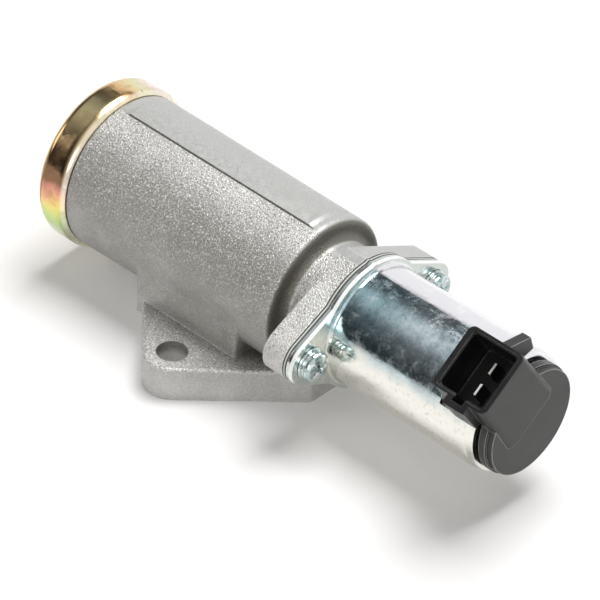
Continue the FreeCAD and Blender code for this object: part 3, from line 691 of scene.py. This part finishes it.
@dataclass(frozen=True)
class SocketPlastic(MouldedPlastic):
    """Plastic of the connector, greyer outside, with painted shade in the socket and a painted dark
    reflection on its rim.
    """

    TILT: ClassVar[float] = math.radians(36.5)
    AXIS: ClassVar[Point] = (0.0, 0.0, 20.3 * MM)
    OUT: ClassVar[Point] = (0.0, -math.sin(TILT), math.cos(TILT))
    ACROSS: ClassVar[Point] = (0.0, math.cos(TILT), math.sin(TILT))
    # Bounds of the painted dark rim and of the socket's painted shade.
    rim_n: float = 17.9 * MM
    rim_soft: float = 0.5 * MM
    inside_x: Pair = (61.5 * MM, 72.1 * MM)
    inside_v: Pair = (-5.1 * MM, 6.6 * MM)
    inside_n: float = 12.5 * MM
    wall: float = 0.25 * MM

    def painted_shade_mask(self, g: Graph) -> Socket:
        """Mask of the painted shade in the socket and in every corner, and of the painted dark reflection on
        its rim.
        """
        depth = g.along(self.OUT, self.AXIS)
        side = g.along(self.ACROSS, self.AXIS)
        rim = g.step(depth, self.rim_n, self.rim_n + self.rim_soft)
        (x0, x1), (v0, v1) = self.inside_x, self.inside_v
        in_x = g.within(g.x, (x0 + x1) / 2, (x1 - x0) / 2 + self.wall, self.wall)
        in_v = g.within(side, (v0 + v1) / 2, (v1 - v0) / 2 + self.wall, self.wall)
        painted_socket_shade = g.step(depth, self.inside_n - self.wall, self.inside_n)
        return g.largest(rim, g.times(in_x, in_v, painted_socket_shade), super().painted_shade_mask(g))


@dataclass(frozen=True)
class PlainMetal:
    """Turned, drawn or plated metal with tool marks round the valve's axis."""

    name: str
    metal: Colour
    tarnish: Colour
    roughness: Pair = (0.22, 0.36)
    metallic: float = 1.0
    mark: float = 0.30 * MM
    stretch: Point = (1.0, 0.05, 0.05)

    def plating(self, g: Graph) -> Value:
        """Metallic share of the surface."""
        return self.metallic

    def shown(self, g: Graph, colour: Socket) -> Socket:
        """Colour as it shows in place."""
        return colour

    def material(self) -> bpy.types.Material:
        """Build the material.

        Returns:
            The finished material.
        """
        g = Graph(self.name)
        marks = g.noise(self.mark, 2.0, stretch=self.stretch)
        clouds = g.noise(3 * MM, 4.0)
        colour = g.tint(g.step(clouds, 0.4, 0.75), self.metal, self.tarnish)
        colour = g.tint(g.times(g.edge_wear_and_sheen(0.15 * MM), 0.5), colour, self.metal)
        relief = g.bump(marks, 0.006 * MM, g.rounding(0.12 * MM))
        g.set(Base_Color=self.shown(g, colour), Metallic=self.plating(g), Normal=relief)
        g.set(Roughness=g.step(clouds, 0.3, 0.7, *self.roughness))
        return g.material


@dataclass(frozen=True)
class TinnedBlade(PlainMetal):
    """Tin plate of a blade, rubbed at its tip where it is less metallic, with painted shade on it down in the
    socket.
    """

    tip_n: float = 14.0 * MM
    tip_length: float = 0.15 * MM
    tip_x: float = 66.8 * MM
    tip_half: float = 0.20 * MM
    tip_soft: float = 0.1 * MM
    tip_metallic: float = 0.2
    # Colour of the painted shade on the blade down in the socket.
    painted_socket_shade: Colour = (0.10, 0.10, 0.10)

    def shown(self, g: Graph, colour: Socket) -> Socket:
        """Colour with painted shade on the blade down in the socket, and its full colour at the tip."""
        start = self.tip_n - self.tip_length
        lit = g.step(g.along(SocketPlastic.OUT, SocketPlastic.AXIS), start - self.tip_soft, start)
        lit = g.times(lit, g.within(g.x, self.tip_x, self.tip_half, self.tip_soft))
        return g.tint(g.times(lit, 0.85), self.painted_socket_shade, colour)

    def plating(self, g: Graph) -> Socket:
        """Metallic share, lower on the rubbed tip."""
        start = self.tip_n - self.tip_length
        depth = g.along(SocketPlastic.OUT, SocketPlastic.AXIS)
        return g.step(depth, start, start + self.tip_soft, self.metallic, self.tip_metallic)


@dataclass(frozen=True)
class WoundCopper:
    """Enamelled copper wire laid turn by turn along the axis."""

    copper: Colour = (0.70, 0.31, 0.14)
    shade: Colour = (0.30, 0.10, 0.04)
    wire_pitch: float = 0.42 * MM

    def material(self) -> bpy.types.Material:
        """Build the material.

        Returns:
            The finished material.
        """
        g = Graph("enamelled_winding")
        phase = g.times(g.x, 2 * math.pi / self.wire_pitch)
        turns = g.sum("ABSOLUTE", g.sum("SINE", g.times(phase, 0.5)))
        colour = g.tint(g.step(turns, 0.0, 0.55), self.shade, self.copper)
        colour = g.tint(g.step(g.noise(2 * MM, 3.0), 0.4, 0.8, 0.0, 0.4), colour, self.shade)
        g.set(Base_Color=colour, Metallic=0.9, Roughness=g.step(g.noise(1 * MM), 0.3, 0.7, 0.22, 0.34))
        g.set(Normal=g.bump(turns, 0.15 * MM), Coat_Weight=0.4)
        return g.material


@dataclass(frozen=True)
class SealRubber:
    """Moulded black rubber with a dusty bloom."""

    rubber: Colour = (0.022, 0.022, 0.022)
    bloom: Colour = (0.06, 0.06, 0.058)

    def material(self) -> bpy.types.Material:
        """Build the material.

        Returns:
            The finished material.
        """
        g = Graph("moulded_rubber")
        bloom = g.noise(1.2 * MM, 4.0)
        g.set(Base_Color=g.tint(g.step(bloom, 0.4, 0.75), self.rubber, self.bloom), IOR=1.5)
        g.set(Roughness=g.step(bloom, 0.3, 0.7, 0.55, 0.75))
        g.set(Normal=g.bump(g.noise(0.3 * MM, 2.0), 0.02 * MM, g.rounding(0.1 * MM)))
        return g.material


@dataclass(frozen=True)
class LayeredGasket:
    """Coated sheet gasket whose cut edge shows two dark faces and a paler core."""

    face: Colour = (0.035, 0.037, 0.035)
    core: Colour = (0.50, 0.51, 0.48)
    fibre: Colour = (0.09, 0.09, 0.085)
    x0: float = 0.0
    x1: float = 0.0

    def material(self) -> bpy.types.Material:
        """Build the material.

        Returns:
            The finished material.
        """
        g = Graph("layered_gasket")
        middle = (self.x0 + self.x1) / 2
        half = (self.x1 - self.x0) / 2
        off = g.sum("ABSOLUTE", g.less(g.x, middle))
        core = g.step(off, 0.22 * half, 0.45 * half, 1.0, 0.0)
        fibres = g.noise(0.5 * MM, 3.0, stretch=(3, 1, 1))
        colour = g.tint(g.step(fibres, 0.45, 0.75), self.face, self.fibre)
        colour = g.tint(core, colour, self.core)
        g.set(Base_Color=colour, Roughness=g.step(fibres, 0.3, 0.7, 0.6, 0.8), IOR=1.5)
        g.set(Normal=g.bump(fibres, 0.05 * MM))
        return g.material


class Finish(Enum):
    """Finishes of the valve, by the material slot that each belongs to."""

    CAST_ALLOY = "cast_alloy"
    PASSIVATED = "passivated_steel"
    ZINC = "zinc_steel"
    SCREW = "screw_zinc"
    MACHINED = "machined_steel"
    SPRING = "spring_steel"
    BRASS = "brass"
    COPPER = "copper"
    BLADE = "tinned_blade"
    DARK_PLASTIC = "dark_plastic"
    NATURAL_PLASTIC = "natural_plastic"
    RUBBER = "seal_rubber"
    GASKET = "gasket"

    @property
    def slot(self) -> str:
        """Material slot of the record."""
        return "zinc_steel" if self is Finish.SCREW else self.value


class Finishes:
    """Keeps one material for each finish."""

    def __init__(self) -> None:
        """Build every material once."""
        low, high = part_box("flange_gasket")
        # The plastics' edge colours are painted edge highlights, and hollow_share is the strength of their
        # painted shade.
        dark = SocketPlastic(
            "dark_moulding", body=(0.010, 0.011, 0.010), streak=(0.020, 0.020, 0.019),
            edge=(0.50, 0.50, 0.48), hollow_share=0.96,
        )
        natural = MouldedPlastic(
            "natural_moulding", body=(0.68, 0.62, 0.50), streak=(0.60, 0.53, 0.40),
            edge=(0.78, 0.74, 0.64), hollow_share=0.3,
        )
        makers = {
            Finish.CAST_ALLOY: CastAlloy(),
            Finish.PASSIVATED: YellowPassivate(),
            Finish.ZINC: CanZinc(name="can_zinc"),
            Finish.SCREW: BrightZinc("screw_zinc", (0.72, 0.77, 0.77), (0.30, 0.42, 0.42), cloud=1.6 * MM),
            Finish.MACHINED: PlainMetal("turned_steel", (0.58, 0.58, 0.57), (0.44, 0.43, 0.41)),
            Finish.SPRING: PlainMetal("spring_wire", (0.40, 0.40, 0.41), (0.27, 0.26, 0.25)),
            Finish.BRASS: PlainMetal("turned_brass", (0.80, 0.62, 0.28), (0.60, 0.44, 0.18)),
            Finish.COPPER: WoundCopper(),
            Finish.BLADE: TinnedBlade("tinned_blade", (0.94, 0.94, 0.92), (0.84, 0.83, 0.80), (0.16, 0.28)),
            Finish.DARK_PLASTIC: dark,
            Finish.NATURAL_PLASTIC: natural,
            Finish.RUBBER: SealRubber(),
            Finish.GASKET: LayeredGasket(x0=low.x, x1=high.x),
        }
        self.materials = {finish: maker.material() for finish, maker in makers.items()}

    def dress_node(self, node: str, finish: Finish) -> None:
        """Give a CAD node its finish.

        Args:
            node: Name of the node.
            finish: Finish that it gets.
        """
        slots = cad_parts[node].material_slots
        for slot in slots:
            slot.material = self.materials[finish]
        LOG.info("node %s gets %s in %d slot", node, finish.value, len(slots))

    def dress_piece(self, piece: bpy.types.Object, finish: Finish) -> None:
        """Give a new piece its finish and its body.

        Args:
            piece: The new object.
            finish: Finish that it gets.
        """
        piece.data.materials.clear()
        piece.data.materials.append(self.materials[finish])
        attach(piece, BODY)
        LOG.info("piece %s gets %s, %d faces", piece.name, finish.value, len(piece.data.polygons))


def add_object(name: str, data: bpy.types.ID) -> bpy.types.Object:
    """Add an object to the scene.

    Args:
        name: Its name.
        data: Its mesh, lamp or camera.

    Returns:
        The new object.
    """
    piece = bpy.data.objects.new(name, data)
    bpy.context.scene.collection.objects.link(piece)
    return piece


def make_piece(name: str, mesh: bmesh.types.BMesh, sharp: float = math.radians(32)) -> bpy.types.Object:
    """Turn a finished bmesh into an object with smooth faces and sharp edges.

    Args:
        name: Name of the piece.
        mesh: Its shape, which is freed.
        sharp: Angle above which an edge stays sharp.

    Returns:
        The new object.
    """
    for face in mesh.faces:
        face.smooth = True
    for edge in mesh.edges:
        edge.smooth = len(edge.link_faces) == 2 and edge.calc_face_angle(0.0) < sharp
    data = bpy.data.meshes.new(name)
    mesh.to_mesh(data)
    mesh.free()
    return add_object(name, data)


def spun(profile: Sequence[Pair], centre: Vector, steps: int) -> bmesh.types.BMesh:
    """Solid of revolution about a line along X.

    Args:
        profile: Points of distance along X from the centre and radius, from axis to axis.
        centre: Point on the line.
        steps: Number of steps round.

    Returns:
        The closed shape.
    """
    mesh = bmesh.new()
    points = [mesh.verts.new(centre + Vector((along, 0, radius))) for along, radius in profile]
    edges = [mesh.edges.new(pair) for pair in zip(points, points[1:])]
    bmesh.ops.spin(
        mesh, geom=points + edges, cent=centre, axis=(1, 0, 0), angle=2 * math.pi, steps=steps, use_merge=True
    )
    bmesh.ops.remove_doubles(mesh, verts=mesh.verts, dist=0.0005 * MM)
    bmesh.ops.recalc_face_normals(mesh, faces=mesh.faces)
    return mesh


def arc(centre: Pair, radius: float, start: float, end: float,
        steps: int) -> list[Pair]:
    """Points on an arc in a profile.

    Args:
        centre: Centre as distance along X and radius.
        radius: Radius of the arc.
        start: First angle in degrees, from the X direction.
        end: Last angle in degrees.
        steps: Number of steps.

    Returns:
        The points with both ends.
    """
    angles = [math.radians(start + (end - start) * i / steps) for i in range(steps + 1)]
    return [(centre[0] + radius * math.cos(a), centre[1] + radius * math.sin(a)) for a in angles]


def cut(piece: bpy.types.Object, tool: bmesh.types.BMesh) -> None:
    """Take a tool's shape out of a piece.

    Args:
        piece: Object that is cut.
        tool: Closed shape of the tool, which is freed.
    """
    cutter = make_piece(piece.name + "_tool", tool)
    modifier = piece.modifiers.new("recess", "BOOLEAN")
    modifier.operation = "DIFFERENCE"
    modifier.solver = "EXACT"
    modifier.object = cutter
    graph = bpy.context.evaluated_depsgraph_get()
    result = bpy.data.meshes.new_from_object(piece.evaluated_get(graph))
    piece.modifiers.clear()
    piece.data = result
    bpy.data.objects.remove(cutter)


@dataclass
class FlangeScrew:
    """Pan head screw with two captive washers and a cross recess, in place of its plain solid."""

    node: str
    finishes: Finishes
    shank_r: float = 2.0 * MM
    tip_chamfer: float = 0.4 * MM
    washer_t: float = 0.55 * MM
    lock_t: float = 0.65 * MM
    lock_step: float = 0.35 * MM
    head_step: float = 0.22 * MM
    head_edge: float = 1.0 * MM
    groove: float = 0.10 * MM
    dome: float = 0.35 * MM
    dome_flat: float = 1.0 * MM
    slot_w: float = 1.0 * MM
    slot_l: float = 4.2 * MM
    slot_depth: float = 1.5 * MM
    slot_floor: Pair = (0.45, 0.7)
    turn: float = math.radians(20)
    head_arc: tuple[float, float, int] = (90, 20, 6)
    steps: int = 56

    def __post_init__(self) -> None:
        """Take the screw's place and size from its solid."""
        low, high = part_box(self.node)
        self.radius = (high.z - low.z) / 2
        self.tip_x = low.x
        self.top_x = high.x
        self.centre = Vector((0, (low.y + high.y) / 2, (low.z + high.z) / 2))
        self.base_x = CanZinc.sheet_x

    def ring(self, x0: float, x1: float, radius: float) -> list[Pair]:
        """Profile of one washer with softened edges.

        Args:
            x0: Its lower face.
            x1: Its upper face.
            radius: Its outer radius.

        Returns:
            The points from its lower to its upper edge.
        """
        soft = self.groove
        return [(x0, radius - soft), (x0 + soft, radius), (x1 - soft, radius), (x1, radius - soft)]

    def build(self) -> bpy.types.Object:
        """Spin the screw, cut its recess and dress it.

        Returns:
            The finished screw.
        """
        washer_x = self.base_x + self.washer_t
        lock_x = washer_x + self.lock_t
        lock_r = self.radius - self.lock_step
        head_r = self.radius - self.head_step
        edge = (self.top_x - self.dome - self.head_edge, head_r - self.head_edge)
        profile = [(self.tip_x, 0.0), (self.tip_x, self.shank_r - self.tip_chamfer)]
        profile += [(self.tip_x + self.tip_chamfer, self.shank_r), (self.base_x, self.shank_r)]
        profile += self.ring(self.base_x, washer_x, self.radius)
        profile += [(washer_x, lock_r - 2 * self.groove)]
        profile += self.ring(washer_x, lock_x, lock_r)
        profile += [(lock_x, head_r - 3 * self.groove), (lock_x, head_r - self.groove)]
        profile += arc(edge, self.head_edge, *self.head_arc)
        profile += [(self.top_x - 0.1 * self.dome, self.dome_flat), (self.top_x, 0.0)]
        piece = make_piece(self.node + "_detail", spun(profile, self.centre, self.steps))
        for angle in (self.turn, self.turn + math.pi / 2):
            cut(piece, self.recess(angle))
        self.finishes.dress_piece(piece, Finish.SCREW)
        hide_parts(self.node)
        return piece

    def recess(self, angle: float) -> bmesh.types.BMesh:
        """Tapered bar that cuts one leg of the cross.

        Args:
            angle: Turn of the bar about the screw's axis.

        Returns:
            The closed bar.
        """
        tool = bmesh.new()
        size = Matrix.Diagonal((2 * self.slot_depth, self.slot_l, self.slot_w, 1.0))
        bmesh.ops.create_cube(tool, size=1.0, matrix=size)
        floor = [vert for vert in tool.verts if vert.co.x < 0]
        bmesh.ops.scale(tool, vec=(1.0, *self.slot_floor), verts=floor)
        turned = Matrix.Rotation(angle, 4, "X")
        bmesh.ops.transform(tool, matrix=turned, verts=tool.verts)
        bmesh.ops.translate(tool, vec=self.centre + Vector((self.top_x, 0, 0)), verts=tool.verts)
        return tool


@dataclass
class SqueezedSpring:
    """Coil spring, copied from its rigid solid and shown in place of it."""

    JOINT: ClassVar[str] = "plunger_slide"
    node: str
    finishes: Finishes
    clear: float = 0.01 * MM

    def build(self) -> bpy.types.Object:
        """Copy the solid's coil and dress it.

        Returns:
            The finished spring.
        """
        piece = add_object(self.node + "_coil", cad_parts[self.node].data.copy())
        self.finishes.dress_piece(piece, Finish.SPRING)
        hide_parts(self.node)
        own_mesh(piece)
        return piece


@dataclass(frozen=True)
class Assembly:
    """Group of pieces: the nodes it dresses, and the springs and screws it makes anew."""

    nodes: dict[str, Finish]
    springs: tuple[str, ...] = ()
    screws: tuple[str, ...] = ()

    def build(self, finishes: Finishes) -> None:
        """Dress the nodes and make the new pieces.

        Args:
            finishes: Materials of the finishes.
        """
        for node, finish in self.nodes.items():
            finishes.dress_node(node, finish)
        for node in self.springs:
            SqueezedSpring(node, finishes).build()
        for node in self.screws:
            FlangeScrew(node, finishes).build()


CASTING = Assembly({"valve_body": Finish.CAST_ALLOY})
END_CAP = Assembly({"end_cap": Finish.PASSIVATED})
VALVE_TRAIN = Assembly({
    "valve_seat": Finish.BRASS,
    "valve_poppet": Finish.BRASS,
    "poppet_clip": Finish.SPRING,
    "valve_stem": Finish.MACHINED,
    "front_pole": Finish.MACHINED,
    "stem_bush": Finish.BRASS,
    "cap_seal": Finish.RUBBER,
}, springs=("return_spring",))
SOLENOID = Assembly({
    "flange_gasket": Finish.GASKET,
    "solenoid_can": Finish.ZINC,
    "coil_bobbin": Finish.NATURAL_PLASTIC,
    "bobbin_seal": Finish.RUBBER,
    "coil_winding": Finish.COPPER,
    "armature_sleeve": Finish.BRASS,
    "armature": Finish.MACHINED,
    "back_core": Finish.MACHINED,
    "flux_washer": Finish.MACHINED,
    "adjusting_screw": Finish.MACHINED,
}, springs=("balance_spring",), screws=("flange_screw_near", "flange_screw_far"))
CONNECTOR = Assembly({
    "connector_housing": Finish.DARK_PLASTIC,
    "terminal_blade_1": Finish.BLADE,
    "terminal_blade_2": Finish.BLADE,
})


@dataclass
class PhotoCamera:
    """Camera at the photograph's place, as fitted to the outlines in it."""

    azimuth: float = 41.33
    elevation: float = 38.24
    roll: float = 3.43
    focal_px: float = 3500.0
    image_px: float = 600.0
    px_per_mm: float = 4.9
    origin_px: float = -26.0
    aim_px: Pair = (-28.8, -42.4)
    sensor: float = 36.0

    def build(self) -> bpy.types.Object:
        """Place the camera.

        Returns:
            The camera object.
        """
        az, el, roll = (math.radians(a) for a in (self.azimuth, self.elevation, self.roll))
        back = Vector((math.sin(az) * math.cos(el), -math.cos(az) * math.cos(el), math.sin(el)))
        level = Vector((math.cos(az), math.sin(az), 0))
        upright = back.cross(level)
        right = math.cos(roll) * level + math.sin(roll) * upright
        up = math.cos(roll) * upright - math.sin(roll) * level
        place = self.focal_px * back - self.aim_px[0] * right - self.aim_px[1] * up
        place = (place - Vector((self.origin_px, 0, 0))) / self.px_per_mm * MM
        data = bpy.data.cameras.new("photo_camera")
        data.sensor_width = self.sensor
        data.lens = self.sensor * self.focal_px / self.image_px
        data.clip_start = 0.01
        camera = add_object("photo_camera", data)
        camera.matrix_world = Matrix.Translation(place) @ Matrix((right, up, back)).transposed().to_4x4()
        bpy.context.scene.camera = camera
        LOG.info("camera at %s", [round(v, 4) for v in place])
        return camera


@dataclass(frozen=True)
class Lamp:
    """One soft rectangular lamp."""

    name: str
    place: Point
    size: Pair
    power: float
    colour: Colour = (1.0, 1.0, 1.0)

    def build(self, aim: Vector) -> None:
        """Hang the lamp and point it at the valve.

        Args:
            aim: Point that it faces.
        """
        data = bpy.data.lights.new(self.name, "AREA")
        data.shape = "RECTANGLE"
        data.size, data.size_y = self.size
        data.energy = self.power
        data.color = self.colour
        lamp = add_object(self.name, data)
        lamp.location = self.place
        lamp.rotation_euler = (Vector(self.place) - aim).to_track_quat("Z", "Y").to_euler()


@dataclass
class Studio:
    """White table, white surround, soft lamps and the dim room that bright metal mirrors."""

    table_size: float = 6.0
    table_lift: float = 0.12
    table_middle: Point = (0.013, 0.0, 0.0)
    table_reach: Pair = (0.13, 0.40)
    table_colour: Colour = (0.82, 0.815, 0.81)
    room_radius: float = 0.95
    room_x: Pair = (-3.6, 0.40)
    window_x: Pair = (-0.22, 0.30)
    window_colour: Colour = (0.95, 0.93, 0.90)
    room_from: float = 42.0
    room_to: float = 179.3
    room_colour: Colour = (0.105, 0.108, 0.112)
    room_haze: Colour = (0.17, 0.178, 0.185)
    low_dark: float = 0.62
    glow_colour: Colour = (0.60, 0.64, 0.66)
    glow_place: Point = (-0.58, -0.16, 0.93)
    glow_reach: Pair = (0.05, 0.62)
    ambient: float = 0.23
    aim: Point = (0.013, 0.0, 0.02)
    lamps: tuple[Lamp, ...] = (
        Lamp("key", (0.03, 0.25, 0.88), (0.50, 0.50), 9.3),
        Lamp("front_fill", (0.45, -0.90, 0.32), (0.6, 0.4), 3.2, (1.0, 0.98, 0.95)),
        Lamp("left_rim", (-0.75, -0.45, 0.35), (0.35, 0.35), 1.8, (1.0, 0.97, 0.92)),
    )

    def build(self) -> None:
        """Set up the table, the room, the lamps and the surround."""
        self.view()
        self.table()
        self.room()
        self.surround()
        for lamp in self.lamps:
            lamp.build(Vector(self.aim))

    @staticmethod
    def view() -> None:
        """Show colours as they are."""
        bpy.context.scene.view_settings.view_transform = "Standard"

    @staticmethod
    def seen(graph: bpy.types.NodeTree) -> Socket:
        """1 for rays that show the surroundings: camera, mirror and glass rays.

        Args:
            graph: Node tree that it is added to.

        Returns:
            The mask.
        """
        path = graph.nodes.new("ShaderNodeLightPath")
        shown = path.outputs["Is Camera Ray"]
        for name in ("Is Glossy Ray", "Is Transmission Ray"):
            either = graph.nodes.new("ShaderNodeMath")
            either.operation = "MAXIMUM"
            graph.links.new(shown, either.inputs[0])
            graph.links.new(path.outputs[name], either.inputs[1])
            shown = either.outputs[0]
        return shown

    def table(self) -> None:
        """Pale table that keeps the shadow, is white to the camera further out and clear from below."""
        mesh = bmesh.new()
        bmesh.ops.create_grid(mesh, x_segments=1, y_segments=1, size=self.table_size / 2)
        table = make_piece("table", mesh)
        g = Graph("white_table")
        paper = g.add("BsdfDiffuse", {"Color": self.table_colour})
        lift = g.add("Emission", {"Strength": self.seen(g.material.node_tree)})
        near = g.spot(self.table_middle, *self.table_reach)
        share = g.rest(g.times(near, 1.0 - self.table_lift))
        top = g.add("MixShader", {0: share, 1: paper.outputs[0], 2: lift.outputs[0]})
        below = g.add("NewGeometry", {}).outputs["Backfacing"]
        clear = g.add("BsdfTransparent", {})
        g.show(g.add("MixShader", {0: below, 1: top.outputs[0], 2: clear.outputs[0]}).outputs[0])
        table.data.materials.append(g.material)

    def room(self) -> None:
        """Dim vault over the front of the table, seen only in bright metal."""
        mesh = bmesh.new()
        start = Matrix.Rotation(math.radians(self.room_from), 4, "X") @ Vector((0, self.room_radius, 0))
        ends = [mesh.verts.new(start + Vector((x, 0, 0))) for x in self.room_x]
        edge = mesh.edges.new(ends)
        bmesh.ops.spin(
            mesh, geom=ends + [edge], cent=(0, 0, 0), axis=(1, 0, 0),
            angle=math.radians(self.room_to - self.room_from), steps=24, use_merge=False,
        )
        room = make_piece("room_vault", mesh)
        g = Graph("room_vault")
        clouds = g.noise(0.45, 3.0, warp=0.5)
        walls = g.tint(g.step(clouds, 0.45, 0.75), self.room_colour, self.room_haze)
        walls = g.tint(g.step(g.z, 0.75, 0.1, 0.0, self.low_dark), walls, (0.0, 0.0, 0.0))
        lit = g.spot(self.glow_place, *self.glow_reach)
        window = g.step(g.x, *self.window_x)
        shown = g.tint(window, g.tint(lit, walls, self.glow_colour), self.window_colour)
        g.show(g.add("Emission", {"Color": shown}).outputs[0])
        room.data.materials.append(g.material)
        for ray in ("camera", "diffuse", "shadow", "transmission"):
            setattr(room, "visible_" + ray, False)

    def surround(self) -> None:
        """White surround to camera, mirror and glass rays, and soft fill light otherwise."""
        world = bpy.data.worlds.new("surround")
        world.use_nodes = True
        tree = world.node_tree
        background = next(n for n in tree.nodes if n.type == "BACKGROUND")
        background.inputs["Color"].default_value = (1, 1, 1, 1)
        level = tree.nodes.new("ShaderNodeMapRange")
        tree.links.new(self.seen(tree), level.inputs["Value"])
        level.inputs["To Min"].default_value = self.ambient
        level.inputs["To Max"].default_value = 1.0
        tree.links.new(level.outputs["Result"], background.inputs["Strength"])
        bpy.context.scene.world = world


def main() -> None:
    """Build and dress the valve, piece by piece, and light it."""
    logging.basicConfig(level=logging.INFO, format="%(message)s")
    finishes = Finishes()
    for assembly in (CASTING, END_CAP, VALVE_TRAIN, SOLENOID, CONNECTOR):
        assembly.build(finishes)
    Studio().build()
    PhotoCamera().build()


if __name__ == "__main__":
    main()
